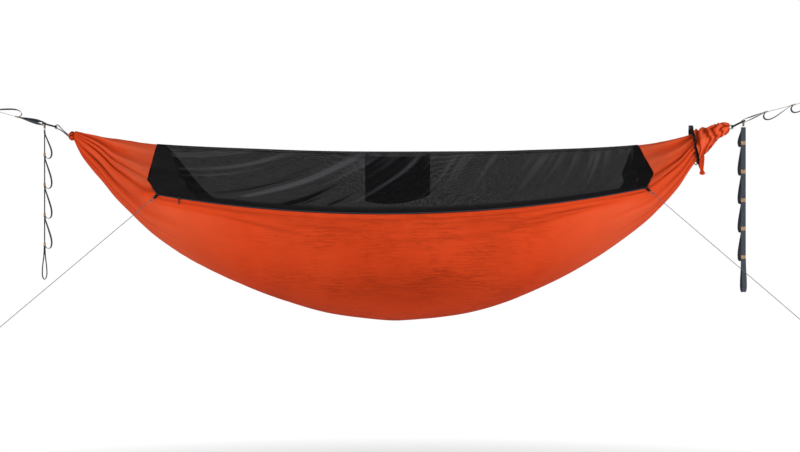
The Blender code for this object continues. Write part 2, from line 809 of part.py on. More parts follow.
def make_strap(name):
    """The loaded run: eye, main band, its open loops, and the loop that takes the carabiner."""
    side = SIDES[name]
    tacks = [Vector((x, 0.0, z)) for x, z in RUN_TACKS[name]]
    fold = fold_place(name)
    lift = Vector((0.0, 0.0, 0.0016))
    outer = Vector((side * 0.0010, 0.0, 0.0))
    band = [tacks[-1], *reversed(tacks[:-1]), biner_point(name, 0.036, -0.0056)]
    corner = [
        biner_point(name, 0.024, -0.0062), fold + outer + Vector((side * 0.0012, 0, 0.0035)),
        fold + outer, fold + outer + Vector((0, 0, -0.006))]
    strap = ribbon(f"strap_{name}", [*band, *smooth_route(corner, 8)])
    taut = [
        tacks[0] + lift, biner_point(name, 0.034, 0.0056), biner_point(name, 0.024, 0.0056)]
    drop = [
        biner_point(name, 0.0205, 0.0054), biner_point(name, 0.0172, 0.0034),
        biner_point(name, 0.0162, 0.0), fold - outer + Vector((0, 0, 0.004)),
        fold - outer + Vector((0, 0, -0.006))]
    combine(strap, ribbon(f"taut_loop_{name}", [*taut, *smooth_route(drop, 10)]), "UNION")
    for index, (near, far) in enumerate(zip(tacks, tacks[1:])):
        bulge = OPEN_LOOP[name]
        combine(strap, ribbon(f"open_loop_{name}_{index}", loop_route(far, near, bulge)), "UNION")
    along = (tacks[-1] - tacks[-2]).normalized()
    eye = teardrop(tacks[-1] + along * 0.004, along, EYE_LENGTH, EYE_HALF_HEIGHT, 0.0010)
    combine(strap, ribbon(f"eye_{name}", eye), "UNION")
    for index, centre in enumerate(tacks):
        after = tacks[index + 1] if index + 1 < len(tacks) else centre + along
        ahead = (after - centre).normalized()
        combine(strap, tack(f"tack_{name}_{index}", centre + lift * 0.4, ahead), "UNION")
    combine(strap, tack(f"fold_tack_{name}", fold, Vector((0, 0, 1)), 0.0042), "UNION")
    across = Matrix.Rotation(math.radians(90), 4, "X")
    bead = pin(
        f"fold_bead_{name}", 0.0018, WEB_WIDTH - 0.001, tail_hinge(name), across, WEBBING)
    combine(strap, bead, "UNION")


def make_tail(name):
    """The strap's free end, folded down at the carabiner, with its row of loops."""
    hinge = tail_hinge(name)
    down = Vector((0.0, 0.0, -1.0))
    bulge = LOOP_BULGE if name == "left" else -LOOP_BULGE
    places = [Vector((0, 0, 0.0))]
    for index in range(TAIL_TACKS[name]):
        places.append(down * (TAIL_FIRST[name] + TAIL_PITCH[name] * index))
    top = down * (0.0018 + GAP)
    tail = ribbon(f"tail_{name}", [top, places[1], places[-1] + down * 0.006])
    start = places[0] + down * 0.008
    head_place = top + down * (0.0003 + TACK_HEIGHT / 2)
    head = tack(f"tail_head_{name}", head_place, Vector((0, 0, 1)), 0.0036)
    combine(tail, head, "UNION")
    for index, end in enumerate(places[1:]):
        loop = ribbon(f"tail_loop_{name}_{index}", loop_route(start, end, bulge, 0.015))
        combine(tail, loop, "UNION")
        combine(tail, tack(f"tail_tack_{name}_{index}", end, Vector((0, 0, 1))), "UNION")
        start = end
    eye = teardrop(places[-1] + down * 0.004, down, END_LOOP, END_LOOP_HALF, 0.0010)
    combine(tail, ribbon(f"tail_eye_{name}", eye), "UNION")
    place = Matrix.Translation(hinge) @ Matrix.Rotation(TAIL_TWIST[name], 4, "Z")
    tail.matrix_world = place
    for tool in tail.modifiers:
        if tool.type == "BOOLEAN":
            tool.object.matrix_world = place @ tool.object.matrix_world


def gate_pivot(name):
    """In the carabiner's own frame: the gate turns at its end nearest the tree."""
    return Vector((SIDES[name] * (GATE_LENGTH / 2 - 0.0036), -(BINER_WIDTH / 2 - ROD), 0.0))


def make_carabiner(name):
    """A rod bent to an oval, with a gate that turns on a rivet through a tongue."""
    side = SIDES[name]
    centre = biner_centre(name)[0]
    place = Matrix.Translation(centre) @ Matrix.Rotation(-BINER_SLOPE[name], 4, "Y")
    bend = BINER_WIDTH / 2 - ROD
    straight = (BINER_LENGTH - BINER_WIDTH) / 2
    half_gap = GATE_LENGTH / 2
    points = [Vector((half_gap, -bend, 0.0))] if half_gap < straight else []
    for end in (1, -1):
        for step in range(13):
            turn = math.radians(-90 + 180 * step / 12)
            if end < 0:
                turn += math.pi
            points.append(Vector((
                end * straight + bend * math.cos(turn), bend * math.sin(turn), 0)))
    points.append(Vector((-half_gap, -bend, 0.0)))
    frame = as_mesh(tube(f"carabiner_{name}", points, ROD, BLACK_METAL, resolution=3))
    pivot = gate_pivot(name)
    tongue = box(
        f"tongue_{name}", (0.0088, 0.0042, 0.0024), pivot + Vector((side * 0.0020, 0, 0)),
        BLACK_METAL)
    bore = pin(f"tongue_bore_{name}", RIVET + GAP, 0.02, pivot, Matrix.Identity(4), BLACK_METAL)
    combine(frame, tongue, "UNION")
    combine(frame, bore, "DIFFERENCE")
    turn = Matrix.Rotation(math.radians(90), 4, "Y")
    tip = -side * (half_gap - 0.0005)
    heel = pivot.x + side * 0.0020
    gate = pin(
        f"gate_{name}", GATE_ROD, abs(heel - tip), Vector(((heel + tip) / 2, pivot.y, 0)), turn,
        BLACK_METAL)
    slot = box(
        f"gate_slot_{name}", (0.0092, 0.02, 0.0030), pivot + Vector((side * 0.0004, 0, 0)),
        BLACK_METAL)
    hole = pin(f"gate_hole_{name}", RIVET + GAP, 0.02, pivot, Matrix.Identity(4), BLACK_METAL)
    combine(gate, slot, "DIFFERENCE")
    combine(gate, hole, "DIFFERENCE")
    rivet = pin(f"gate_rivet_{name}", RIVET, 0.0066, pivot, Matrix.Identity(4), STEEL)
    for item in (frame, tongue, bore, gate, slot, hole, rivet):
        item.matrix_world = place @ item.matrix_world


# Stuff sack, pushed back over the right gathered end

def sack_point(x, place, outward):
    """Outside the cloth's own ring at x, so that the sack always fits round it."""
    inner = min(x, CLOTH_RIGHT)
    around = 2 * PANEL_STEPS + BELLY_STEPS
    share = place % SACK_SIDES * around / SACK_SIDES
    point = ring_point(inner, share, PANEL_STEPS, BELLY_STEPS, pleated=False)
    centre = gather_centre(inner)
    away = point - centre
    away += away.normalized() * (SACK_ROOM + PLEAT_DEPTH + CLOTH + outward)
    beyond = max(x - CLOTH_RIGHT, 0.0) / (SACK_END - CLOTH_RIGHT)
    return Vector((x, 0.0, centre.z * (1 - beyond))) + away * (1 - 0.46 * beyond ** 1.5)


def sack_surface(x, place, lift=0.0):
    """The sack's ruffled outside; its folds run round it and die out toward the tip."""
    share = min(max((x - SACK_START) / (SACK_END - SACK_START), 0.0), 1.0)
    turn = 2 * math.pi * place / SACK_SIDES
    fold = 0.5 + 0.5 * math.sin(share * 24.7 + 1.3 * math.sin(3 * turn) + 2 * turn)
    return sack_point(x, place, SACK_RUFFLE * (1 - 0.75 * share) * fold + lift)


def make_sack():
    """A sleeve of bunched cloth, ruffled round and along, open at both ends."""
    rows = []
    steps = 13
    for step in range(steps + 1):
        share = step / steps
        x = SACK_START + (SACK_END - SACK_START) * share
        rows.append([sack_surface(x, place) for place in range(SACK_SIDES)])
    sheet("stuff_sack", rows, CLOTH, ORANGE, closed=True)


def sack_mouth(place, lift):
    slant = 0.5 - 0.5 * math.cos(2 * math.pi * place / SACK_SIDES)
    return sack_point(SACK_START - 0.004 + 0.028 * slant, place, SACK_RUFFLE + lift)


def make_drawcord():
    """Round the sack's mouth, then both ends side by side down through the cord lock."""
    points = []
    steps = 40
    for step in range(1, steps):
        points.append(sack_mouth(DRAW_PLACE + SACK_SIDES * step / steps, DRAW_LIFT))
    origin, along, across, out = lock_frame()
    ends = []
    for side in (-1, 1):
        base = origin + across * (side * 0.0040)
        ends.append([base + along * reach for reach in (-0.016, -0.009, 0.010, 0.060)])
    under = origin + across * 0.0020 - along * 0.018 - out * 0.0095
    route = [*reversed(ends[1]), under, *points, *ends[0]]
    tube("drawcord", smooth_route(route, 56), DRAW_RADIUS, BLACK_CORD)


def lock_frame():
    """Over the near upper side of the sack's mouth: along the cord, across it, and outward."""
    start = sack_mouth(DRAW_PLACE, 0.0)
    end = sack_mouth(DRAW_PLACE + 2.4, 0.0)
    along = (end - start).normalized()
    across = Vector((1.0, 0.0, 0.0))
    across = (across - along * across.dot(along)).normalized()
    out = across.cross(along).normalized()
    if out.z < 0:
        out = -out
    return start + out * 0.0165, along, across, out


def make_cord_lock():
    """A flat spring lock: two bores for the cord, and a button that goes into its top."""
    origin, along, across, out = lock_frame()
    turn = Matrix((across, out, along)).transposed().to_4x4()
    middle = origin + out * 0.0020
    lock = box("cord_lock", (0.016, 0.015, 0.015), middle, BLACK_PLASTIC, turn)
    rounding = lock.modifiers.new("rounding", "BEVEL")
    rounding.width = 0.0015
    rounding.segments = 2
    for side in (-1, 1):
        bore = pin(
            f"lock_bore_{side}", DRAW_RADIUS + 2 * GAP, 0.03, origin + across * (side * 0.0040),
            turn, BLACK_PLASTIC)
        combine(lock, bore, "DIFFERENCE")
    well = box(
        "lock_well", (0.0106, 0.0070, 0.0106), origin + out * 0.0067, BLACK_PLASTIC, turn)
    combine(lock, well, "DIFFERENCE")
    box("cord_lock_button", (0.0100, 0.0060, 0.0100), origin + out * 0.0085, BLACK_PLASTIC, turn)


def make_sack_corner():
    """The sack's loose corner, hanging below its mouth."""
    low = sack_surface(SACK_CORNER_X, SACK_SIDES / 2)
    profile = [
        (0.0006, 0.004), (0.004, 0.010), (0.016, 0.0115), (0.030, 0.009), (0.042, 0.0065),
        (0.050, 0.0080), (0.056, 0.0070), (0.059, 0.0020)]
    rows = []
    for drop, radius in profile:
        row = []
        for step in range(14):
            turn = 2 * math.pi * step / 14
            reach = radius * (1 + 0.16 * math.cos(4 * turn + drop * 60))
            x = low.x + 0.12 * drop + reach * math.cos(turn)
            under = sack_surface(x, SACK_SIDES / 2).z
            level = min(drop / 0.024, 1.0)
            height = under + (low.z - under) * level - 0.9 * CLOTH - drop
            row.append(Vector((x, 0.7 * reach * math.sin(turn), height)))
        rows.append(row)
    shape = bmesh.new()
    grid = [[shape.verts.new(point) for point in row] for row in rows]
    for upper, lower in zip(grid, grid[1:]):
        for index in range(14):
            after = (index + 1) % 14
            shape.faces.new((upper[index], upper[after], lower[after], lower[index]))
    shape.faces.new(grid[0])
    shape.faces.new(grid[-1])
    bmesh.ops.recalc_face_normals(shape, faces=shape.faces)
    mesh = bpy.data.meshes.new("sack_corner")
    shape.to_mesh(mesh)
    shape.free()
    mesh.shade_smooth()
    add("sack_corner", mesh, ORANGE)


# Assembly

def report(name, point, axis):
    """Prints a joint's place in the assembly's frame."""
    place = Vector(point) - tree_eye("left")
    words = [f"{value:.6f}" for value in place]
    print(f"joint {name}: at ({', '.join(words)}) axis {[round(v, 6) for v in axis]}")


def main():
    make_bed()
    make_net(-1, "net_door")
    make_net(1, "far_net")
    make_zip()
    make_pocket()
    make_ridgeline()
    for name, side in SIDES.items():
        make_gather(f"gather_{name}", side)
        make_suspension(f"suspension_{name}", side)
        make_tab(f"tie_out_near_{name}", side, -1)
        make_tab(f"tie_out_far_{name}", side, 1)
        make_guy(f"guy_{name}", side)
        make_carabiner(name)
        make_strap(name)
        make_tail(name)
    make_sack()
    make_drawcord()
    make_cord_lock()
    make_sack_corner()
    bpy.context.view_layer.update()
    assembly = bpy.data.objects.new("assembly", None)
    PARTS.objects.link(assembly)
    for item in [*PARTS.objects, *CUTTERS.objects]:
        if item != assembly:
            item.parent = assembly
    assembly.location = -tree_eye("left")
    bpy.context.view_layer.update()
    for name, side in SIDES.items():
        place = Matrix.Translation(biner_centre(name)[0])
        place = place @ Matrix.Rotation(-BINER_SLOPE[name], 4, "Y")
        axis = place.to_3x3() @ Vector((0, 0, -side))
        report(f"gate_{name}", place @ gate_pivot(name), axis)
        turned = Matrix.Rotation(TAIL_TWIST[name], 3, "Z") @ Vector((0, 1, 0))
        report(f"tail_{name}", tail_hinge(name), turned)
        report(f"guy_{name}", tie_out(side, -1)[3], (0, 0, 1))
        report(f"eye_{name}", tree_eye(name), (0, 0, 1))
    report("hammock", (0, 0, 0), (1, 0, 0))
    report("net_door", (0, 0, ridge_z(WINDOW_LEFT)), (-1, 0, 0))
    _, along, _, up_out = arc_frame(SLIDER_X)
    outward = Vector((0.0, -math.cos(HEM_LEAN), -math.sin(HEM_LEAN)))
    lowest = arc_frame(HEM_LOW_X)[0]
    report("zip_slider", lowest - outward * HEM_RADIUS, up_out)
    report("zip_pull", pull_hinge(), along)
    report("pocket", (POCKET_X, 0, ridge_z(POCKET_X) - RIDGELINE_DROP), (1, 0, 0))
    origin, along, _, out = lock_frame()
    report("cord_lock", origin, along)
    report("cord_lock_button", origin + out * 0.0062, -out)


main()
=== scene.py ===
# %% [markdown]
# # Dressing the hammock
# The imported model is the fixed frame: every piece made here sits where a solid of it lies, and
# rides on the body that the solid belongs to. Shapes are worked out at mid-span, on the line
# between the two carabiners, and `MOVE` then carries them to the model's origin, which is the
# eye of the left tree strap.

# %% Load the frame
import math

import bmesh
import bpy
from mathutils import Matrix, Vector, noise


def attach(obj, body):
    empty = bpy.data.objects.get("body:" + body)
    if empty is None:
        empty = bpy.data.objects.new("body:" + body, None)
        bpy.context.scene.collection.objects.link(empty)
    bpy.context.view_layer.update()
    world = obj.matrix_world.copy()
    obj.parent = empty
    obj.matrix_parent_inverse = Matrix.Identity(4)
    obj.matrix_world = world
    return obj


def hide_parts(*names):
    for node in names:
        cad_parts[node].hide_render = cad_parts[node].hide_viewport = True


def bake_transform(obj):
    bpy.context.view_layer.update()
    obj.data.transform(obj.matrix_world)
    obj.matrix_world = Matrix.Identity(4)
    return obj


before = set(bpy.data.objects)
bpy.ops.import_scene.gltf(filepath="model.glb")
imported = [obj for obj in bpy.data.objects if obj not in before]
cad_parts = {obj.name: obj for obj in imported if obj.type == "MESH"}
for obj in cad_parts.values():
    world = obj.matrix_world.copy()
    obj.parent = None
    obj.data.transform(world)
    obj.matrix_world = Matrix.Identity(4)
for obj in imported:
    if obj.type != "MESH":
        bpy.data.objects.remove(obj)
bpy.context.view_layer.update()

# %% [markdown]
# ## Sizes
# The same real sizes, in metres, that the solids are made from.

# %% Sizes
MOVE = Vector((1.605798, 0.0, -0.081051))
CLOTH_LEFT = 1.238
CLOTH_RIGHT = 1.212
RIDGE_SAG = 0.093
BED_DEPTH = 0.733
HEM_HALF_WIDTH = 0.420
HEM_DROP = 0.331
HEM_RADIUS = 3.071
HEM_LOW_X = -0.063
HEM_LEAN = math.radians(37.7)
WINDOW_LEFT = -0.928
WINDOW_RIGHT = 0.901
WINDOW_TURN = 0.75
GATHER_RADIUS = 0.011
ZIP_SETBACK = 0.0036
COIL_RADIUS = 0.0026
RIDGELINE_DROP = 0.009
RIDGELINE_RADIUS = 0.0015
SUSPENSION_RADIUS = 0.0020
GUY_RADIUS = 0.0011
DRAW_RADIUS = 0.0020
WEB_WIDTH = 0.020
WEB_THICK = 0.0014
TACK_HEIGHT = 0.014
PANEL = 5                      # steps from the ridge seam to the hem, when counting round a ring
BELLY = 16                     # and from the near hem round to the far one
AROUND = 2 * PANEL + BELLY
SIDES = {"left": -1, "right": 1}

# %% [markdown]
# ## Camera
# The photograph is taken square from the side, level, about 7 m away. It is 800 px wide and
# shows 3.04 m at the hammock's middle, so a pixel is 3.8 mm there.

# %% Camera
scene = bpy.context.scene
CAMERA_DISTANCE = 7.0
VIEW_WIDTH = 3.04
camera_data = bpy.data.cameras.new("camera")
camera_data.sensor_width = 36.0
camera_data.lens = 36.0 * CAMERA_DISTANCE / VIEW_WIDTH
camera = bpy.data.objects.new("camera", camera_data)
camera.location = MOVE + Vector((-0.004, -CAMERA_DISTANCE, -0.376))
camera.rotation_euler = (math.radians(90), 0.0, 0.0)
scene.collection.objects.link(camera)
scene.camera = camera
print("camera lens", round(camera_data.lens, 1), "mm")

# %% [markdown]
# ## Shader nodes
# Every surface below is a small tree of nodes. These helpers add a node and hand back the output
# that is wanted, so that one node can be written inside another.

# %% Node helpers
def feed(socket, value):
    """Gives an input a plain value, or links it to another node's output."""
    if isinstance(value, bpy.types.NodeSocket):
        socket.id_data.links.new(value, socket)
    else:
        socket.default_value = value


def add_node(tree, kind, output=0, **inputs):
    made = tree.nodes.new(f"ShaderNode{kind}")
    for name, value in inputs.items():
        feed(made.inputs[name.replace("_", " ")], value)
    return made.outputs[output]


def maths(tree, operation, *values):
    made = tree.nodes.new("ShaderNodeMath")
    made.operation = operation
    for socket, value in zip(made.inputs, values):
        feed(socket, value)
    return made.outputs[0]


def map_range(tree, value, low, high, **limits):
    """0 to 1, or between other limits, as a value goes from low to high."""
    return add_node(tree, "MapRange", Value=value, From_Min=low, From_Max=high, **limits)


def base_material(name, colour, roughness, metallic=0.0, shine=0.5):
    made = bpy.data.materials.new(name)
    made.use_nodes = True
    tree = made.node_tree
    body = tree.nodes["Principled BSDF"]
    values = {
        "Base Color": (*colour, 1.0), "Roughness": roughness, "Metallic": metallic,
        "Specular IOR Level": shine}
    for word, value in values.items():
        body.inputs[word].default_value = value
    return made, tree, body

# %% [markdown]
# ## Light and floor
# Plain studio light: a pale world, a large soft lamp low on the right, a weaker one on the
# left and a third above in front, so the ends are lit from below and the middle from above.
# The floor fades out, so that the white of the world is all that shows behind the object.

# %% Light and floor
scene.view_settings.view_transform = "Standard"
WORLD_FILL = 0.40
FLOOR_LEVEL = -1.62
FLOOR_RADIUS = 3.2


def make_world():
    """White where the camera sees it, and a dimmer light on the pieces."""
    scene.world = bpy.data.worlds.new("studio")
    scene.world.use_nodes = True
    tree = scene.world.node_tree
    back = tree.nodes["Background"].inputs
    back["Color"].default_value = (1.0, 1.0, 1.0, 1.0)
    rays = [add_node(tree, "LightPath", ray) for ray in ("Is Camera Ray", "Is Transmission Ray")]
    seen = maths(tree, "MAXIMUM", *rays)
    feed(back["Strength"], map_range(tree, seen, 0.0, 1.0, To_Min=WORLD_FILL, To_Max=1.0))


def make_lamp(name, place, aim, size, power):
    lamp = bpy.data.lights.new(name, "AREA")
    lamp.shape = "DISK"
    lamp.size = size
    lamp.energy = power
    item = bpy.data.objects.new(name, lamp)
    item.location = place
    item.rotation_euler = (Vector(aim) - Vector(place)).to_track_quat("-Z", "Y").to_euler()
    scene.collection.objects.link(item)


def make_floor():
    """A pale disc whose rim fades out."""
    mesh = bpy.data.meshes.new("floor")
    shape = bmesh.new()
    bmesh.ops.create_circle(shape, cap_ends=True, segments=96, radius=FLOOR_RADIUS)
    shape.to_mesh(mesh)
    shape.free()
    floor = bpy.data.objects.new("floor", mesh)
    floor.location = (MOVE.x, 0.0, FLOOR_LEVEL)
    scene.collection.objects.link(floor)
    pale, tree, body = base_material("floor_pale", (0.93, 0.93, 0.93), 0.9)
    mesh.materials.append(pale)
    far = tree.nodes.new("ShaderNodeVectorMath")
    far.operation = "LENGTH"
    feed(far.inputs[0], add_node(tree, "TexCoord", "Object"))
    feed(body.inputs["Alpha"], map_range(
        tree, far.outputs["Value"], 0.45 * FLOOR_RADIUS, 0.98 * FLOOR_RADIUS,
        To_Min=1.0, To_Max=0.0))


make_world()
make_lamp("key", (MOVE.x + 3.3, -2.9, -0.9), (MOVE.x + 0.3, 0.0, -0.4), 2.2, 88)
make_lamp("fill", (MOVE.x - 3.3, -2.9, -0.9), (MOVE.x - 0.3, 0.0, -0.4), 2.2, 64)
make_lamp("top", (MOVE.x, -3.6, 2.8), (MOVE.x, 0.0, -0.4), 2.6, 42)
make_floor()
print("lamps", len(bpy.data.lights))

# %% [markdown]
# ## Materials
# Each cloth gets its weave as a fine bump in metres along the sheet, a slow change of colour,
# and a sheen where the real one has it. Sheets carry their own lengths in metres as UV. Light and
# shade are also painted into the colour of the nylon and the net, from a height that each piece
# keeps at its points.

# %% Material helpers
def waves(tree, pitch, axis):
    """0 to 1 and back once in each pitch, in metres, along one axis of the sheet."""
    length = add_node(tree, "SeparateXYZ", axis, Vector=add_node(tree, "TexCoord", "UV"))
    turned = maths(tree, "MULTIPLY", length, 2 * math.pi / pitch)
    return maths(tree, "MULTIPLY_ADD", maths(tree, "SINE", turned), 0.5)


def speckle(tree, scale, detail=3.0, roughness=0.5, source=None):
    """Soft noise, laid on the sheet itself when no other source is given."""
    source = source or add_node(tree, "TexCoord", "UV")
    return add_node(
        tree, "TexNoise", "Fac", Vector=source, Scale=scale, Detail=detail, Roughness=roughness)


def tint(body, colours, factor, low=0.3, high=0.7):
    """Colour that goes from one tone to the other with a factor."""
    ramp = body.id_data.nodes.new("ShaderNodeValToRGB")
    for stop, place, colour in zip(ramp.color_ramp.elements, (low, high), colours):
        stop.position = place
        stop.color = (*colour, 1.0)
    feed(ramp.inputs["Fac"], factor)
    feed(body.inputs["Base Color"], ramp.outputs["Color"])


def weave(tree, operation, pitch):
    """The waves along the sheet and those across it, put together."""
    return maths(tree, operation, *[waves(tree, pitch, axis) for axis in (0, 1)])


def fold_height(tree):
    """The height kept by mark_folds for painted light and shade: below 0 in a valley, above 0 on a
    ridge, 0 elsewhere, with the painted light that some pieces add to it.
    """
    kept = tree.nodes.new("ShaderNodeAttribute")
    kept.attribute_name = "fold"
    return kept.outputs["Fac"]


def shade(body, low, high, colour, value=None):
    """Paints light or shade: blends toward another colour as a value, such as the fold's height,
    goes from low to high.
    """
    tree = body.id_data
    share = map_range(tree, value or fold_height(tree), low, high)
    under = body.inputs["Base Color"].links[0].from_socket
    mixed = add_node(tree, "MixRGB", Fac=share, Color1=under, Color2=(*colour, 1.0))
    feed(body.inputs["Base Color"], mixed)


def bump(body, height, strength, distance, **below):
    made = add_node(
        body.id_data, "Bump", Height=height, Strength=strength, Distance=distance, **below)
    feed(body.inputs["Normal"], made)
    return made


# %% Materials
def long_creases(tree):
    """Thin level creases, which only the middle of the bed has: 1 in a crease, else 0."""
    where = add_node(tree, "TexCoord", "Object")
    stretched = add_node(
        tree, "Mapping", Vector=where, Rotation=(0.0, 0.09, 0.0), Scale=(9.0, 9.0, 110.0))
    uneven = speckle(tree, 1.0, source=stretched)
    away = maths(tree, "ABSOLUTE", maths(tree, "SUBTRACT", uneven, 0.5))
    patches = map_range(tree, speckle(tree, 7.0, 3.0, 0.6, where), 0.36, 0.68)
    along = add_node(tree, "SeparateXYZ", Vector=where)
    off = maths(tree, "ABSOLUTE", maths(tree, "SUBTRACT", along, MOVE.x))
    shown = maths(tree, "MULTIPLY", patches, map_range(tree, off, 0.75, 0.30))
    return maths(tree, "MULTIPLY", map_range(tree, away, 0.06, 0.0), shown)


def make_ripstop(name, dark, light):
    """Thin nylon: fine weave, a raised thread each 5 mm both ways, and small creases, with painted
    shade in its folds and creases and painted light where the kept height is high.
    """
    made, tree, body = base_material(name, light, 0.58, shine=0.02)
    tint(body, (dark, light), speckle(tree, 2.4, 4.0, 0.6))
    # painted shade: darker in the valleys of pleats, folds and hem creases
    shade(body, 0.06, -0.52, tuple(value * 0.13 for value in dark))
    # painted light: paler orange on fold crowns and where daylight() paints light
    shade(body, 0.10, 1.0, (0.86, 0.150, 0.062))
    creases = long_creases(tree)
    # painted shade along the long creases
    shade(body, 0.0, 2.6, tuple(value * 0.25 for value in dark), creases)
    raised = [maths(tree, "POWER", waves(tree, 0.005, axis), 12.0) for axis in (0, 1)]
    woven = maths(tree, "MULTIPLY", weave(tree, "MULTIPLY", 0.0007), 0.35)
    thread = maths(tree, "ADD", maths(tree, "MAXIMUM", *raised), woven)
    fine = bump(body, thread, 0.35, 0.0004)
    creased = bump(body, creases, 0.8, 0.0016, Normal=fine)
    bump(body, speckle(tree, 22.0, 4.0, 0.6), 0.20, 0.003, Normal=creased)
    return made


def make_mesh_cloth(name):
    """Insect net: fine holes between crossed threads, so a share of the light goes through, with
    painted highlights on its folds and painted light over its upper half.
    """
    made, tree, body = base_material(name, (0.006, 0.006, 0.007), 0.55, shine=0.03)
    tint(body, ((0.004, 0.004, 0.005), (0.007, 0.007, 0.008)), speckle(tree, 5.0))
    # painted highlight on the folds and painted light over the upper half, from net_light
    shade(body, 0.05, 1.0, (0.060, 0.057, 0.064))
    threads = weave(tree, "MAXIMUM", 0.0016)
    cover = map_range(tree, threads, 0.35, 0.8, To_Min=0.60, To_Max=0.97)
    # more opaque where the net lies doubled in deep folds, and opaque and dark in the band above
    # the hem, as painted shade
    doubled_and_hem_shade = map_range(tree, fold_height(tree), -0.5, -1.6)
    feed(body.inputs["Alpha"], maths(tree, "MAXIMUM", cover, doubled_and_hem_shade))
    fine = bump(body, threads, 0.3, 0.0003)
    bump(body, speckle(tree, 14.0), 0.20, 0.003, Normal=fine)
    return made


def make_dark_cloth(name, dark, light, pitch=0.0009):
    made, tree, body = base_material(name, light, 0.62, shine=0.04)
    tint(body, (dark, light), speckle(tree, 9.0, 4.0, 0.6))
    fine = bump(body, weave(tree, "MULTIPLY", pitch), 0.4, 0.0004)
    bump(body, speckle(tree, 60.0, 4.0, 0.6), 0.3, 0.002, Normal=fine)
    return made


def make_webbing(name, dark, light):
    """Flat woven strap: ribs across it and faint wear."""
    made, tree, body = base_material(name, light, 0.6, shine=0.2)
    body.inputs["Sheen Weight"].default_value = 0.05
    tint(body, (dark, light), speckle(tree, 130.0, 5.0, 0.7), 0.35, 0.75)
    rows = maths(tree, "MULTIPLY", waves(tree, 0.0022, 1), 0.4)
    bump(body, maths(tree, "ADD", waves(tree, 0.0016, 0), rows), 0.7, 0.0006)
    return made


def make_braid(name, dark, light, pitch):
    """Braided cord: strands crossing in two directions round it, painted darker between them and
    lighter on their crowns as painted shade and painted highlight.
    """
    made, tree, body = base_material(name, light, 0.55, shine=0.2)
    sheet = add_node(tree, "TexCoord", "UV")
    along, across = (add_node(tree, "SeparateXYZ", axis, Vector=sheet) for axis in (0, 1))
    strands = []
    for way in (1.0, -1.0):
        lean = maths(tree, "ADD", along, maths(tree, "MULTIPLY", across, way))
        strands.append(maths(tree, "SINE", maths(tree, "MULTIPLY", lean, 2 * math.pi / pitch)))
    braid = maths(tree, "MULTIPLY", *strands)
    # painted shade between the strands and painted highlight on their crowns
    tint(body, (dark, light), braid, 0.0, 0.8)
    bump(body, braid, 0.6, 0.0004)
    return made


def make_metal(name, colour, roughness, metallic):
    """Machined metal: fine grain, and patches that have rubbed a little brighter."""
    made, tree, body = base_material(name, colour, roughness, metallic)
    place = add_node(tree, "TexCoord", "Object")
    bright = tuple(min(value * 2.2 + 0.02, 1.0) for value in colour)
    tint(body, (colour, bright), speckle(tree, 420.0, 4.0, 0.65, place), 0.45, 0.85)
    bump(body, speckle(tree, 1500.0, 2.0, 0.5, place), 0.12, 0.0002)
    return made


def make_plastic(name, colour, roughness):
    made, tree, body = base_material(name, colour, roughness)
    place = add_node(tree, "TexCoord", "Object")
    bump(body, speckle(tree, 1800.0, 3.0, 0.6, place), 0.3, 0.0002)
    return made


ORANGE = make_ripstop("orange_ripstop", (0.60, 0.050, 0.010), (0.72, 0.068, 0.016))
NET = make_mesh_cloth("black_insect_net")
BLACK_CLOTH = make_dark_cloth("black_lining", (0.0024, 0.0022, 0.0022), (0.005, 0.0046, 0.0048))
THIN_LINING = make_dark_cloth("thin_lining", (0.006, 0.006, 0.007), (0.016, 0.014, 0.015))
POCKET_CLOTH = make_dark_cloth("pocket_cloth", (0.003, 0.003, 0.004), (0.007, 0.007, 0.008))
ZIP_TAPE = make_dark_cloth("zip_tape", (0.004, 0.004, 0.005), (0.010, 0.010, 0.012), 0.0012)
ZIP_COIL = make_braid("zip_coil_nylon", (0.012, 0.015, 0.02), (0.05, 0.06, 0.08), 0.0022)
WEBBING = make_webbing("grey_blue_webbing", (0.035, 0.040, 0.055), (0.075, 0.085, 0.110))
TAN_THREAD = make_braid("tan_thread", (0.62, 0.40, 0.22), (0.90, 0.62, 0.38), 0.0009)
GREY_CORD = make_braid("grey_braid", (0.10, 0.10, 0.11), (0.26, 0.26, 0.28), 0.0018)
BLACK_CORD = make_braid("black_braid", (0.006, 0.006, 0.007), (0.03, 0.03, 0.033), 0.0020)
ANODISED = make_metal("black_anodised", (0.012, 0.012, 0.010), 0.34, 0.85)
GUNMETAL = make_metal("dark_zip_metal", (0.035, 0.035, 0.038), 0.38, 0.9)
STEEL = make_metal("plated_steel", (0.42, 0.42, 0.43), 0.30, 1.0)
PLASTIC = make_plastic("moulded_black", (0.012, 0.012, 0.012), 0.42)

print("materials", len(bpy.data.materials))

# %% [markdown]
# ## The hammock's outline
# Smooth curves along its length give the ridge, the belly and the hem. `ring_point` goes once
# round the cloth at one place along it, from the ridge seam down the near side and back up.

# %% Outline
def clip(value):
    return min(max(value, 0.0), 1.0)


def spread(low, high, count):
    """Evenly spaced values, both ends included."""
    return [low + (high - low) * step / (count - 1) for step in range(count)]


def circle(count):
    """Evenly spaced turns once round, without the last one that meets the first."""
    return [2 * math.pi * step / count for step in range(count)]


def grain(x, y, z):
    """Smooth noise, about -1 to 1."""
    return noise.noise(Vector((x, y, z)))


def round_grain(turn, size, layer):
    """Smooth noise that closes on itself after one turn."""
    return grain(math.cos(turn) * size, math.sin(turn) * size, layer)


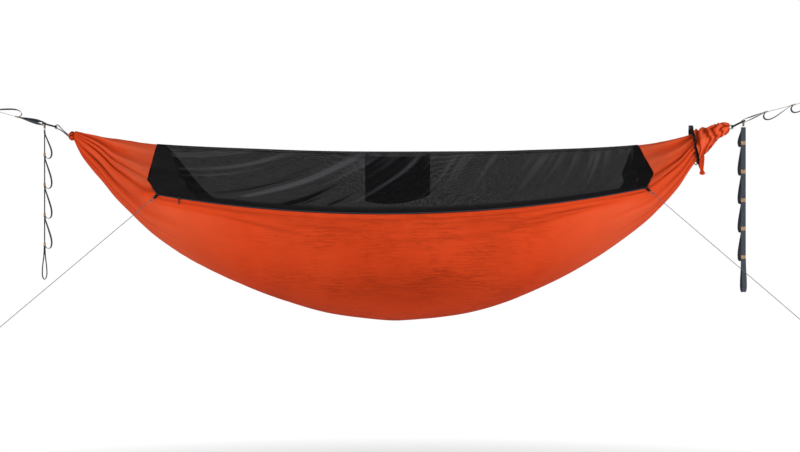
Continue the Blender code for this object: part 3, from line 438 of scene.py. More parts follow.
def smooth_through(points):
    """A smooth function of x through a few (x, value) points."""
    slopes = []
    for index in range(len(points)):
        before = points[max(index - 1, 0)]
        after = points[min(index + 1, len(points) - 1)]
        slopes.append((after[1] - before[1]) / (after[0] - before[0]))

    def value(x):
        index = 0
        while index < len(points) - 2 and x > points[index + 1][0]:
            index += 1
        start, end = points[index], points[index + 1]
        span = end[0] - start[0]
        u = (x - start[0]) / span
        rise = (2 * u ** 3 - 3 * u ** 2 + 1) * start[1] + (3 * u ** 2 - 2 * u ** 3) * end[1]
        lean = (u ** 3 - 2 * u ** 2 + u) * slopes[index] + (u ** 3 - u ** 2) * slopes[index + 1]
        return rise + lean * span
    return value


def smooth_route(points, count):
    """Points along a smooth curve through the route's own points."""
    route = [Vector(point) for point in points]
    ends = [2 * route[0] - route[1], *route, 2 * route[-1] - route[-2]]
    steps = [(after - before).length for before, after in zip(route, route[1:])]
    total = sum(steps)
    made = []
    for step in range(count + 1):
        left = total * step / count
        index = 0
        while index < len(steps) - 1 and left > steps[index]:
            left -= steps[index]
            index += 1
        u = min(left / steps[index], 1.0)
        a, b, c, d = ends[index:index + 4]
        bend = (2 * a - 5 * b + 4 * c - d) * u + (3 * (b - c) + d - a) * u * u
        made.append(b + 0.5 * u * ((c - a) + bend))
    return made


ridge_curve = smooth_through([
    (-1.0, -0.225), (-0.87, -0.45), (-0.748, -0.70), (-0.37, -0.93), (-0.16, -1.0),
    (0.16, -1.0), (0.37, -0.96), (0.743, -0.73), (0.89, -0.35), (1.0, 0.04)])
belly_curve = smooth_through([
    (-1.0, -0.064), (-0.972, -0.158), (-0.916, -0.270), (-0.861, -0.383), (-0.732, -0.585),
    (-0.616, -0.711), (-0.432, -0.852), (-0.248, -0.952), (-0.12, -0.988), (0.0, -1.0),
    (0.216, -0.960), (0.404, -0.855), (0.592, -0.694), (0.749, -0.507), (0.859, -0.322),
    (0.906, -0.205), (0.953, -0.110), (1.0, -0.025)])


def cloth_end(x):
    return CLOTH_LEFT if x < 0 else CLOTH_RIGHT


def ridge_z(x):
    return RIDGE_SAG * ridge_curve(x / cloth_end(x))


def belly_z(x):
    return BED_DEPTH * belly_curve(x / cloth_end(x))


def hem_rise(x):
    return HEM_RADIUS - math.sqrt(HEM_RADIUS ** 2 - (x - HEM_LOW_X) ** 2)


def window_end(x):
    return WINDOW_LEFT if x < 0 else WINDOW_RIGHT


def corner_reach(x):
    """The hem keeps its arc a little past the net opening's end."""
    return abs(window_end(x)) + 0.006


def end_share(x):
    """0 at the net opening's end, 1 at the gathered end."""
    start = corner_reach(x)
    return clip((abs(x) - start) / (cloth_end(x) - start))


def hem_point(x):
    """The near hem's Y and Z, running on into the gathered ends."""
    share = end_share(x)
    inner = x if share == 0 else math.copysign(corner_reach(x), x)
    out = HEM_HALF_WIDTH - hem_rise(inner) * math.cos(HEM_LEAN)
    height = -HEM_DROP + hem_rise(inner) * math.sin(HEM_LEAN)
    if share == 0:
        return -out, height
    part_down = (ridge_z(inner) - height) / (ridge_z(inner) - belly_z(inner))
    part_down += (0.5 - part_down) * share
    width = GATHER_RADIUS + (out - GATHER_RADIUS) * (1 - share) ** 1.6
    return -width, ridge_z(x) + (belly_z(x) - ridge_z(x)) * part_down


def seam_shift(x, down):
    slant = (-0.004 if x < 0 else 0.032) * min(down / WINDOW_TURN, 1.0)
    turn = (0.050 if x < 0 else -0.040) * max((down - WINDOW_TURN) / (1 - WINDOW_TURN), 0.0)
    distance = abs(x) - abs(window_end(x))
    reach = 0.24 if distance > 0 else 0.36
    return (slant + turn) * max(1 - abs(distance) / reach, 0.0)


def upper_point(x, down, side=-1):
    """On the upper panel: down is 0 at the ridge seam and 1 at the hem."""
    x += seam_shift(x, down)
    out, height = hem_point(x)
    top = ridge_z(x)
    return Vector((x, -side * out * down, top + (height - top) * down))


def belly_point(x, angle):
    """On the bed: angle runs from 0 at the near hem to pi at the far hem."""
    x += seam_shift(x, 1.0) * abs(math.cos(angle))
    out, height = hem_point(x)
    drop = height - belly_z(x)
    return Vector((x, out * math.cos(angle), height - drop * math.sin(angle)))


def gather_centre(x):
    return Vector((x, 0.0, (ridge_z(x) + belly_z(x)) / 2))


def ring_point(x, place):
    """A point of the plain ring round the cloth; place counts round from the ridge seam."""
    if place <= PANEL:
        point = upper_point(x, place / PANEL)
    elif place < PANEL + BELLY:
        point = belly_point(x, math.pi * (place - PANEL) / BELLY)
    else:
        point = upper_point(x, (AROUND - place) / PANEL, side=1)
    share = clip((end_share(x) - 0.45) / 0.55)
    turn = 2 * math.pi * place / AROUND
    radius = (ridge_z(point.x) - belly_z(point.x)) / 2
    on_circle = gather_centre(point.x) + Vector((0.0, -math.sin(turn), math.cos(turn))) * radius
    return point.lerp(on_circle, share ** 2 * (3 - 2 * share))


# %% [markdown]
# ## Making pieces
# A sheet is a grid of points with its own lengths as UV, and a thin wall. A tube follows a
# route. `put_in_place` moves a piece to the model's frame and ties it to its solid and body.

# %% Piece helpers
def put_in_place(shape, name, surface, body, nodes=()):
    """Makes a piece in the model's frame and ties it to its body and its solids.

    The body is left out for cloth that crosses a joint."""
    bmesh.ops.recalc_face_normals(shape, faces=shape.faces)
    mesh = bpy.data.meshes.new(name)
    shape.to_mesh(mesh)
    shape.free()
    mesh.shade_smooth()
    mesh.materials.append(surface)
    mesh.transform(Matrix.Translation(MOVE))
    item = bpy.data.objects.new(name, mesh)
    scene.collection.objects.link(item)
    if body:
        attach(item, body)
    if nodes:
        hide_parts(*nodes)
    return item


def lengths_across(row, closed):
    """Lengths along one row, counted from its middle point."""
    made = [0.0]
    for before, after in zip(row, [*row[1:], row[0]] if closed else row[1:]):
        gap = (after - before).length if before is not None and after is not None else 0.0
        made.append(made[-1] + gap)
    return [length - made[len(row) // 2] for length in made]


def grid_into(shape, rows, closed=False):
    """Adds a grid of points, with the lengths along and across it as UV in metres."""
    lengths = shape.loops.layers.uv.verify()
    grid = [[shape.verts.new(point) if point is not None else None for point in row]
            for row in rows]
    middle = len(rows[0]) // 2
    along = [0.0]
    for before, after in zip(rows, rows[1:]):
        missing = before[middle] is None or after[middle] is None
        along.append(along[-1] + (0.0 if missing else (after[middle] - before[middle]).length))
    across = [lengths_across(row, closed) for row in rows]
    for row in range(len(rows) - 1):
        count = len(grid[row])
        for place in range(count if closed else count - 1):
            corners = [(row, place), (row, place + 1), (row + 1, place + 1), (row + 1, place)]
            points = [grid[line][column % count] for line, column in corners]
            if None in points:
                continue
            face = shape.faces.new(points)
            for loop, (line, column) in zip(face.loops, corners):
                loop[lengths].uv = (along[line], across[line][column])
    return grid


def make_sheet(name, rows, surface, body, nodes=(), closed=False, wall=0.0006):
    shape = bmesh.new()
    grid_into(shape, rows, closed)
    for point in [point for point in shape.verts if not point.link_faces]:
        shape.verts.remove(point)
    item = put_in_place(shape, name, surface, body, nodes)
    item["cloth_area"] = sum(face.area for face in item.data.polygons)
    if wall:
        thickness = item.modifiers.new("wall", "SOLIDIFY")
        thickness.thickness = wall
        thickness.offset = 0.0
    return item


def solid_into(shape, rows):
    """Rings joined into a solid, with a face over each end."""
    grid = grid_into(shape, rows, closed=True)
    shape.faces.new(grid[0])
    shape.faces.new(grid[-1])


def make_solid(name, rows, surface, body, nodes=()):
    shape = bmesh.new()
    solid_into(shape, rows)
    return put_in_place(shape, name, surface, body, nodes)


def mark_folds(item, heights):
    """Keeps each point's fold height, with any painted light added to it, for the painted light and
    shade in the cloth's colour.
    """
    kept = item.data.attributes.new("fold", "FLOAT", "POINT")
    kept.data.foreach_set("value", heights)


def around(centre, first, second, turns):
    """Points of an oval given by its two half axes, one for each turn."""
    return [centre + first * math.cos(turn) + second * math.sin(turn) for turn in turns]


def heading(route, index):
    """The way that a route goes at one of its points."""
    return (route[min(index + 1, len(route) - 1)] - route[max(index - 1, 0)]).normalized()


def rounded(flat, high, power):
    """What a circle's point is divided by to lie on a square with round corners."""
    return max(abs(flat) ** power + abs(high) ** power, 1e-6) ** (1 / power)


def tube_rows(route, radius, sides=10, flat=1.0):
    """Rings round a route."""
    rows = []
    route = [Vector(point) for point in route]
    normal = None
    for index, point in enumerate(route):
        ahead = heading(route, index)
        if normal is None:
            normal = ahead.orthogonal().normalized()
        normal = (normal - ahead * normal.dot(ahead)).normalized()
        beside = ahead.cross(normal) * flat
        rows.append(around(point, normal * radius, beside * radius, circle(sides)))
    return rows


def make_tube(name, route, radius, surface, body, nodes=(), sides=10, flat=1.0):
    return make_solid(name, tube_rows(route, radius, sides, flat), surface, body, nodes)


# %% [markdown]
# ## The bed
# One sheet of thin nylon. Pleats run out of each gathered end, deep beside it and dying out
# under the net's corners, each with its own length. Between them lie long shallow creases.
# Painted shade darkens the pleats' valleys, thin creases under the hems and the cloth low in the
# middle, and painted light makes the ends and the panels above the hems paler.

# %% Bed
PLEATS = 15                    # pleats round each gathered end
PLEAT_HEIGHT = 0.0150
CREASE_HEIGHT = 0.0022
GATHER_BULGE = 0.0050          # cloth stacked up beside the suspension loop
RING_COUNT = 208
END_ROWS = 46
MIDDLE_ROWS = 150
SEAM_BACK = 0.0006             # the seam at each end of the opening, off the cloth's edge


def pleat_reach(turn, side):
    """How far this pleat runs along the cloth from the gathered end."""
    return 0.44 + 0.16 * round_grain(turn, 3, 7.0 * side)


def pleat(x, place):
    side = math.copysign(1.0, x)
    turn = 2 * math.pi * place / AROUND
    gone = (cloth_end(x) - abs(x)) / pleat_reach(turn, side)
    if gone >= 1:
        return 0.0
    depth = min(gone * 5, 1.0) * (1 - gone) ** 1.2
    bow = 0.5 * PLEATS * turn + 2.4 * round_grain(turn, 2, 3.0 * side)
    ridge = abs(math.sin(bow)) ** 1.15 - 0.56
    fine = abs(math.sin(2.3 * bow + 2 * gone)) - 0.62
    return PLEAT_HEIGHT * depth * (ridge + 0.30 * fine)


def crease(x, place):
    """Long shallow creases: level ones in the middle, slanting toward the ends."""
    level = place * 0.075 + 0.55 * x * abs(x)
    fold = 1 - abs(grain(x * 2.6, level * 17.0, 2.0)) * 2.2
    short_wave = grain(x * 8.0, level * 42.0, 9.0)
    return CREASE_HEIGHT * (0.35 * fold + 0.5 * short_wave * math.exp(-(x / 0.45) ** 2))


def hem_crease(x, place):
    """Thin creases under each hem, drawn out of the corners by the tie-outs: 0 to -1."""
    if not WINDOW_LEFT < x < WINDOW_RIGHT:
        return 0.0
    below = min(abs(place - PANEL), abs(place - PANEL - BELLY))
    pull = 0.25 + 0.75 * (abs(x + 0.05) / 0.90) ** 2
    deepest = 0.0
    for line in range(3):
        wander = grain(x * 2.1, 5.0 * line, 3.0)
        level = 0.42 + 0.42 * line * (1 - 0.6 * abs(x)) + 0.30 * wander
        shown = max(grain(x * 2.6, 11.0 * line, 6.0) + 0.25, 0.0)
        deepest = max(deepest, shown * math.exp(-((below - level) / 0.11) ** 2))
    return -deepest * pull


def bed_point(x, place):
    point = ring_point(x, place)
    beside = ring_point(x, place + 0.05)
    ahead = ring_point(min(x + 0.004, CLOTH_RIGHT), place)
    behind = ring_point(max(x - 0.004, -CLOTH_LEFT), place)
    normal = (ahead - behind).cross(beside - point).normalized()
    if normal.dot(point - gather_centre(point.x)) < 0:
        normal.negate()
    free = min(cloth_end(x) - abs(x), 0.05) / 0.05
    inside = clip((abs(window_end(x)) - abs(x)) / 0.05)
    hem = min(abs(place - PANEL), abs(place - PANEL - BELLY), 1.0)
    edge = 1 - 0.75 * (1 - hem) * inside
    thick = GATHER_BULGE * math.exp(-((cloth_end(x) - abs(x)) / 0.030) ** 2)
    height = pleat(x, place) + thick + 0.003 * hem_crease(x, place)
    return point + normal * (height + crease(x, place) * free * edge)


def daylight(point):
    """Painted light and shade: the cloth is painted paler toward both ends and above the hems, and
    painted darker low in the middle.
    """
    off = abs(point.x + 0.03)
    ends = clip((off - 0.42) / 0.40) * clip((1.12 - off) / 0.25)
    below = (upper_point(point.x, 1.0).z - point.z) / 0.05
    high = clip(-below) * clip((1.16 - off) / 0.20)
    middle = math.exp(-((point.x + 0.02) / 0.36) ** 2 - ((point.z + 0.61) / 0.075) ** 2)
    return 0.40 * ends * clip(below) + 0.50 * high - 0.14 * middle


def bed_rows():
    """Rows of points round the cloth, and at each point the pleats' height with the painted light
    and shade kept for the cloth's colour.
    """
    rows = []
    heights = []
    left = spread(-CLOTH_LEFT, WINDOW_LEFT, END_ROWS)
    middle = spread(WINDOW_LEFT, WINDOW_RIGHT, MIDDLE_ROWS)[1:-1]
    right = spread(WINDOW_RIGHT, CLOTH_RIGHT, END_ROWS)
    first = PANEL * RING_COUNT // AROUND
    last = RING_COUNT - first
    for x in [*left, *middle, *right]:
        row = []
        inner = WINDOW_LEFT < x < WINDOW_RIGHT
        seam = x in (WINDOW_LEFT, WINDOW_RIGHT)
        for step in range(RING_COUNT):
            place = step * AROUND / RING_COUNT
            upper = step < first or step > last
            if inner and upper:
                row.append(None)
                continue
            point = bed_point(x, place)
            # the pleats' height and the hem creases' depth, kept for painted shade in the colour,
            # plus daylight's painted light and shade
            folded = pleat(x, place) / PLEAT_HEIGHT + 0.8 * hem_crease(x, place)
            heights.append(folded + daylight(point))
            if inner and step == first:
                point.z -= ZIP_SETBACK
            if seam and (upper or step in (first, last)):
                point.x += math.copysign(SEAM_BACK, x)
                if step == first:
                    point += Vector((math.copysign(ZIP_SETBACK, x), 0.0, -ZIP_SETBACK))
            row.append(point)
        rows.append(row)
    return rows, heights


# the pleats' heights with painted light and shade, kept for the cloth's colour
bed_grid, pleat_and_light_heights = bed_rows()
bed = make_sheet("bed_cloth", bed_grid, ORANGE, "hammock", ["bed"], closed=True)
mark_folds(bed, pleat_and_light_heights)

# %% [markdown]
# ## Insect net
# Two panels hang from the ridge seam to the hems, with a black cloth gusset at each end. The
# net is a little slack, so long folds sweep across it from the hem up to the ridge.

# %% Net
NET_FOLD = 0.0050
NET_ROWS = 230
NET_HEIGHT = 0.19
NET_DOWN = 44
GUSSET_ROWS = 24
GUSSET_LAP = 0.005             # how far the net is sewn over the gusset
right_gusset = smooth_through(
    [(0.0, 0.885), (0.32, 0.862), (0.6, 0.846), (0.83, 0.858), (1.0, 0.868)])


def gusset_line(side, down):
    """Where the black end gusset meets the net."""
    return -0.896 + 0.148 * down if side < 0 else right_gusset(down)


def seam_side(end, down, side):
    """The gusset's outer edge: sewn to the bed, or zipped to it on the near side's corners."""
    back = SEAM_BACK if down < WINDOW_TURN or side > 0 else 1.5 * ZIP_SETBACK
    return window_end(end) - end * back


# how far the folds have climbed at x, and how many there are in a metre of height
fold_climb = smooth_through([
    (-0.9, 0.0), (-0.6, 0.9), (-0.4, 2.3), (-0.2, 4.3), (0.0, 6.8), (0.2, 9.8), (0.4, 13.3),
    (0.6, 17.2), (0.9, 24.0)])
fold_density = smooth_through([(-0.9, 31.0), (-0.2, 27.0), (0.2, 19.0), (0.9, 13.0)])


def net_sweep(x, down, far):
    """Long folds that start low on the left and curve up to the ridge: -1 to 1."""
    warp = 0.35 * grain(x * 3.0, down * 1.5, 4.0 + far)
    level = fold_density(x) * NET_HEIGHT * (1 - down) - fold_climb(x) + warp
    narrow = grain(level * 2.9, x * 1.6, 8.0 + far)
    return 1.5 * grain(level * 1.15, x * 1.3, 2.0 + far) + 1.1 * narrow


def net_strength(x, down):
    """The folds are strongest left of the middle and die out at every edge."""
    strong = 0.50 + 0.70 * math.exp(-((x + 0.42) / 0.36) ** 2)
    return strong * min(down * 5, (1 - down) * 6, 1.0)


def net_fold(x, down, far):
    return NET_FOLD * net_strength(x, down) * net_sweep(x, down, far)


def net_light(x, down, far):
    """Painted highlights where the near panel's folds catch the light, and painted light over its
    upper half, where the sky shows through; above the hem the value drops, which makes the net
    opaque and dark there as painted shade.
    """
    folds = 1.3 * net_strength(x, down) * net_sweep(x, down, far)
    hem = clip((down - 0.86) / 0.05)
    return (folds + 0.30 - down) * (1 - hem) - 1.5 * hem


def panel_rows(across, first, last, side, fold):
    rows = []
    for step in range(across + 1):
        row = []
        for place in range(NET_DOWN + 1):
            down = place / NET_DOWN
            x = first(down) + (last(down) - first(down)) * step / across
            point = upper_point(x, down, side)
            direction = (upper_point(x, 1.0, side) - upper_point(x, 0.0, side)).normalized()
            outward = Vector((0.0, side * abs(direction.z), abs(direction.y)))
            if place == 0:
                point += direction * 0.0014
            if place == NET_DOWN and side < 0:
                point -= direction * ZIP_SETBACK
            row.append(point + outward * fold(x, down))
        rows.append(row)
    return rows


def hang_from_ridge(piece):
    """Bakes the lifted panel's placing into its points."""
    top = upper_point(HEM_LOW_X, 0.0)
    down = (upper_point(HEM_LOW_X, 1.0) - top).normalized()
    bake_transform(piece)


def make_panel(word, side, node):
    far = 0.0 if side < 0 else 20.0
    body = None if side < 0 else "hammock"
    lights = []

    def fold(x, down):
        lights.append(net_light(x, down, far))
        return net_fold(x, down, far)

    rows = panel_rows(
        NET_ROWS, lambda down: gusset_line(-1, down) + 0.0005,
        lambda down: gusset_line(1, down) - 0.0005, side, fold)
    panel = make_sheet(f"{word}_mesh", rows, NET, body, [node], wall=0.0)
    mark_folds(panel, lights)
    if side < 0:
        hang_from_ridge(panel)
    for name, end in SIDES.items():
        rows = panel_rows(
            GUSSET_ROWS, lambda down: seam_side(end, down, side),
            lambda down: gusset_line(end, down) - end * GUSSET_LAP, side,
            lambda x, d: 0.3 * net_fold(x, d, 40.0) - 0.0012)
        cloth = THIN_LINING if end < 0 else BLACK_CLOTH
        gusset = make_sheet(
            f"{word}_gusset_cloth_{name}", rows, cloth, body, [f"{node}_gusset_{name}"])
        if side < 0:
            hang_from_ridge(gusset)
    return panel


near_panel = make_panel("near_net", -1, "net_door")
make_panel("far_side_net", 1, "far_net")
print("net", len(near_panel.data.vertices), "points in each panel")

# %% [markdown]
# ## Seams, hem and zip
# A bound seam runs along the ridge. The bed's edge is folded
# double, and the zip lies along it: dark tape, and a coil that catches the light.
# The coil's strand crowns carry painted highlights.

# %% Seams and zip
HEM_STEPS = 150


def make_zip_coil(side):
    """The coil round the near opening, and the plain bound edge of the far one."""
    corner = spread(WINDOW_TURN + 0.09, 0.99, 6)
    line = [upper_point(WINDOW_LEFT, down, side) for down in corner]
    line += [upper_point(x, 1.0, side)
             for x in spread(WINDOW_LEFT + 0.002, WINDOW_RIGHT - 0.002, HEM_STEPS)]
    line += [upper_point(WINDOW_RIGHT, down, side) for down in spread(0.99, WINDOW_TURN + 0.09, 6)]
    name, node, surface, count, flat = (
        ("zip_teeth", "zip_coil", ZIP_COIL, 420, 0.7) if side < 0
        else ("far_hem_bead", "far_hem_binding", BLACK_CLOTH, 220, 1.0))
    make_tube(
        name, smooth_route(line, count), COIL_RADIUS, surface, "hammock", [node], 8, flat)


def make_tape():
    """The zip's tape, sewn to the net's lower edge."""
    rows = []
    for x in spread(WINDOW_LEFT + 0.012, WINDOW_RIGHT - 0.012, HEM_STEPS):
        foot = upper_point(x, 1.0)
        up = (upper_point(x, 0.0) - foot).normalized()
        outward = Vector((0.0, -abs(up.z), abs(up.y)))
        rows.append([foot + up * rise + outward * 0.0016 for rise in (0.0038, 0.009, 0.0165)])
    make_sheet("near_zip_tape", rows, ZIP_TAPE, "net_door", wall=0.0008)


def make_hem_fold(side):
    """The bed's edge, folded double and stitched: a strip 13 mm wide just outside the cloth."""
    rows = []
    for x in spread(WINDOW_LEFT + 0.008, WINDOW_RIGHT - 0.008, HEM_STEPS):
        row = []
        for turn in (0.05, 0.10, 0.20, 0.30):
            point = bed_point(x, PANEL + turn if side < 0 else PANEL + BELLY - turn)
            row.append(point + (point - gather_centre(x)).normalized() * 0.0014)
        rows.append(row)
    word = "near" if side < 0 else "far"
    make_sheet(f"hem_fold_{word}", rows, ORANGE, "hammock", wall=0.0008)


def make_ridge_seam():
    line = [Vector((x, 0.0, ridge_z(x) - 0.0002)) for x in spread(WINDOW_LEFT, WINDOW_RIGHT, 120)]
    make_tube("ridge_seam", line, 0.0013, BLACK_CLOTH, "hammock", sides=8)


for side in (-1, 1):
    make_zip_coil(side)
    make_hem_fold(side)
make_tape()
make_ridge_seam()
print("seams and zip made")

# %% [markdown]
# ## Pocket and ridgeline
# A soft pouch hangs on the ridgeline by two loops of tape; it bellies out a little and its
# bottom sags. The ridgeline is a thin braided cord.

# %% Pocket and ridgeline
POCKET_X = -0.013
POCKET_WIDTH = 0.247
POCKET_DEPTH = 0.166


def pocket_depth(across, share):
    """Half the pouch's thickness."""
    full = 0.0014 + 0.0055 * (1 - across ** 4) * math.sin(math.pi * min(share + 0.08, 1.0)) ** 0.7
    return full + 0.0011 * grain(across * 4, share * 5, 1.0) * (1 - across ** 2)


def pocket_rows():
    cord = ridge_z(POCKET_X) - RIDGELINE_DROP
    rows = []
    shares = spread(0.0, 0.985, 26)
    for across in spread(-1.0, 1.0, 48):
        x = POCKET_X + POCKET_WIDTH / 2 * across
        top = cord - 0.008 - 0.004 * (1 - across ** 2)
        bottom = cord - POCKET_DEPTH - 0.022 * (1 - across ** 2) + 0.012 * across
        back = [Vector((x, pocket_depth(across, share), top + (bottom - top) * share))
                for share in shares]
        front = [Vector((x, -point.y, point.z)) for point in back]
        rows.append([*front, Vector((x, 0.0, bottom)), *reversed(back)])
    return rows


def make_pocket():
    rows = pocket_rows()
    body = "ridge_pocket"
    pocket = make_sheet("pocket_pouch", rows, POCKET_CLOTH, body, ["ridge_pocket"])
    for word, column in (("front", 0), ("back", -1)):
        edge = [row[column] + Vector((0, 0, 0.0004)) for row in rows]
        make_tube(f"pocket_binding_{word}", edge, 0.0013, BLACK_CLOTH, body, (), 8, 1.6)
    cord = ridge_z(POCKET_X) - RIDGELINE_DROP
    room = RIDGELINE_RADIUS + 0.0017
    over = [(-math.cos(turn) * room, cord + math.sin(turn) * room)
            for turn in spread(0.0, math.pi, 13)]
    legs = [(-0.0014, cord - 0.016), (-0.0026, cord - 0.005)]
    line = [*legs, *over, *[(-y, z) for y, z in reversed(legs)]]
    for word, end in SIDES.items():
        strips = []
        for reach in (0.0040, 0.0085, 0.0130):
            x = POCKET_X + end * (POCKET_WIDTH / 2 - reach)
            strips.append([Vector((x, y, z)) for y, z in line])
        make_sheet(f"pocket_hanger_{word}", strips, BLACK_CLOTH, body, wall=0.0010)


def make_ridgeline():
    route = []
    for x in spread(-CLOTH_LEFT + 0.005, CLOTH_RIGHT - 0.005, 13):
        route.append(Vector((x, 0.0, ridge_z(x) - RIDGELINE_DROP)))
    for end in (route[0], route[-1]):
        end.z = gather_centre(math.copysign(cloth_end(end.x), end.x)).z
    make_tube(
        "ridgeline_cord", smooth_route(route, 120), RIDGELINE_RADIUS, GREY_CORD, "hammock",
        ["ridgeline"], 8)


make_pocket()
make_ridgeline()
print("pocket and ridgeline made")

# %% [markdown]
# ## Gathered ends and suspension
# Beyond each suspension loop the cloth bunches into a small knob of deep folds. The loop is one
# cord that goes round the carabiner and back into the gather.

# %% Gathered ends
KNOB_RADIUS = {"left": 0.0165, "right": 0.0125}
BEARING_X = {"left": -1.3085, "right": 1.256}
ROD = 0.0035
SWING_ROOM = 0.0070


def make_knob(name, side):
    centre = gather_centre(side * cloth_end(side))
    knob = KNOB_RADIUS[name]
    inside = GATHER_RADIUS - 0.0018
    profile = smooth_route([
        (-0.0045, 0, inside * 0.5), (0.0008, 0, inside), (0.0030, 0, knob * 0.80),
        (0.009, 0, knob * 0.97), (0.016, 0, knob), (0.021, 0, knob * 0.80),
        (0.0242, 0, 0.0078), (0.0232, 0, 0.0052), (0.0125, 0, 0.0048)], 34)
    rows = []
    heights = []
    for spot in profile:
        deep = 0.24 * clip((spot.z - 0.008) / 0.004)
        row = []
        for turn in circle(96):
            twist = turn + 14 * spot.x
            uneven = round_grain(turn, 2, spot.x * 60)
            height = 0.7 * abs(math.sin(4.5 * twist + 3 * uneven)) + 0.8 * uneven - 0.55
            # painted shade in the valleys between the knob's folds
            heights.append(1.2 * min(height, 0.0))
            folded = spot.z * (1 + deep * height)
            row.append(centre + Vector((
                side * spot.x, -side * math.sin(turn) * folded, math.cos(turn) * folded)))
        rows.append(row)
    made = make_solid(f"gathered_knob_{name}", rows, ORANGE, "hammock", [f"gather_{name}"])
    mark_folds(made, heights)


def make_suspension(name, side):
    centre = gather_centre(side * cloth_end(side))
    rod = Vector((BEARING_X[name], 0.0, 0.0))
    beyond = ROD + SUSPENSION_RADIUS + 0.0003
    legs = []
    for way in (1, -1):
        level = Vector((0.0, 0.0, way * (SUSPENSION_RADIUS + 0.0007)))
        start = centre + Vector((side * 0.0134, 0.0, 0.0)) + level
        mouth = centre + Vector((side * 0.024, 0.0, 0.0)) + level
        at_rod = rod + Vector((-side * 0.006, 0.0, way * SWING_ROOM))
        narrow = mouth.lerp(at_rod, 0.55)
        narrow.z -= way * 0.30 * SWING_ROOM
        legs.append([start, start.lerp(mouth, 0.6), mouth, narrow, at_rod])
    bend = around(
        rod, Vector((0.0, 0.0, SWING_ROOM)), Vector((side * beyond, 0.0, 0.0)),
        spread(0.0, math.pi, 9)[1:-1])
    route = [*legs[0], *bend, *reversed(legs[1])]
    make_tube(
        f"suspension_loop_{name}", smooth_route(route, 90), SUSPENSION_RADIUS, GREY_CORD,
        "hammock", [f"suspension_{name}"], 12)


for name, side in SIDES.items():
    make_knob(name, side)
    make_suspension(name, side)
print("gathered ends made")

# %% [markdown]
# ## Tie-outs and guy lines
# A flat sewn tab stands at each end of both hems, with a stitched hole. A thin cord is tied
# through each near one and runs taut out of the picture to a tied loop for its peg.

# %% Tie-outs and guy lines
TAB_LENGTH = 0.016
TAB_WIDTH = 0.012
TAB_THICK = 0.0022
TAB_ROOM = 0.0013
TAB_HOLE = 0.0026
TAB_OUTER = 0.0058             # from the hole's middle to the tab's free end
GUY_END = {"left": (-1.3845, -0.752, -0.739), "right": (1.373, -0.752, -0.710)}


def tie_out(end, side):
    seam = upper_point(window_end(end), 1.0, side)
    x, y, z = GUY_END["left" if end < 0 else "right"]
    away = (Vector((x, -side * y, z)) - seam).normalized()
    square = Vector((0.0, side * 0.6, 0.8))
    square = (square - away * square.dot(away)).normalized()
    hole = seam + away * (COIL_RADIUS + TAB_ROOM + TAB_LENGTH - TAB_OUTER)
    return away, square, hole


def make_tab(word, name, end, side):
    """A band with round corners and a hole, made as rings from the hole out to the edge."""
    away, square, hole = tie_out(end, side)
    beside = square.cross(away)
    rows = []
    for share in spread(0.0, 1.0, 7):
        row = []
        for turn in circle(40):
            flat = (math.cos(turn), math.sin(turn))
            reach = rounded(*flat, 5)
            long = (TAB_OUTER if flat[0] > 0 else TAB_LENGTH - TAB_OUTER) * flat[0] / reach
            wide = TAB_WIDTH / 2 * flat[1] / reach
            at = [TAB_HOLE * near + (rim - TAB_HOLE * near) * share
                  for near, rim in zip(flat, (long, wide))]
            row.append(hole + away * at[0] + beside * at[1])
        rows.append(row)
    tab = make_sheet(
        f"tab_{word}_{name}", rows, BLACK_CLOTH, "hammock", [f"tie_out_{word}_{name}"],
        closed=True, wall=TAB_THICK)
    tab.modifiers["wall"].use_even_offset = True
    beyond = TAB_HOLE + 0.0008
    for face in (-1, 1):
        level = hole + square * (face * TAB_THICK / 2)
        ring = around(level, away * beyond, beside * beyond, spread(0.0, 2 * math.pi, 25))
        make_tube(
            f"tab_stitch_{word}_{name}_{face + 1}", ring, 0.0004, BLACK_CORD, "hammock", sides=6)


def make_guy(name, end):
    pull, side, hole = tie_out(end, -1)
    far = Vector(GUY_END[name])
    knot = hole + pull * 0.021
    loop = smooth_route([
        knot + side * 0.0030 + pull * -0.0010, hole + side * 0.0065 + pull * 0.010,
        hole + side * 0.0050 + pull * 0.0024, hole + pull * 0.0011,
        hole - side * 0.0050 + pull * 0.0024, hole - side * 0.0065 + pull * 0.010, knot,
        knot + pull * 0.030], 60)
    run = [loop[-1].lerp(far, step / 40) for step in range(1, 41)]
    turns = [math.pi * (1.5 + 1.86 * step / 12) for step in range(1, 12)]
    eye = around(far + pull * 0.045, side * 0.010, pull * 0.022, turns)
    line = loop + run + smooth_route([far + pull * 0.008, *eye], 40)
    body = f"guy_{name}"
    cord = make_tube(f"guy_line_{name}", line, GUY_RADIUS, GREY_CORD, body, [body], 8)
    for where, word in ((knot, "tab_knot"), (far + pull * 0.021, "end_knot")):
        turns = around(
            where, side * 0.0021, pull.cross(side) * 0.0021, spread(0.0, 6 * math.pi, 37))
        turns = [spot + pull * ((step / 36 - 0.5) * 0.0060) for step, spot in enumerate(turns)]
        make_tube(f"guy_{word}_{name}", turns, 0.0011, GREY_CORD, body, sides=8)


for name, end in SIDES.items():
    make_tab("near", name, end, -1)
    make_tab("far", name, end, 1)
    make_guy(name, end)

# %% [markdown]
# ## Tree straps
# Flat webbing 20 mm wide. A second band is sewn to the first by bar tacks, so that it stands
# off in loops between them. The free end is folded down at the carabiner.

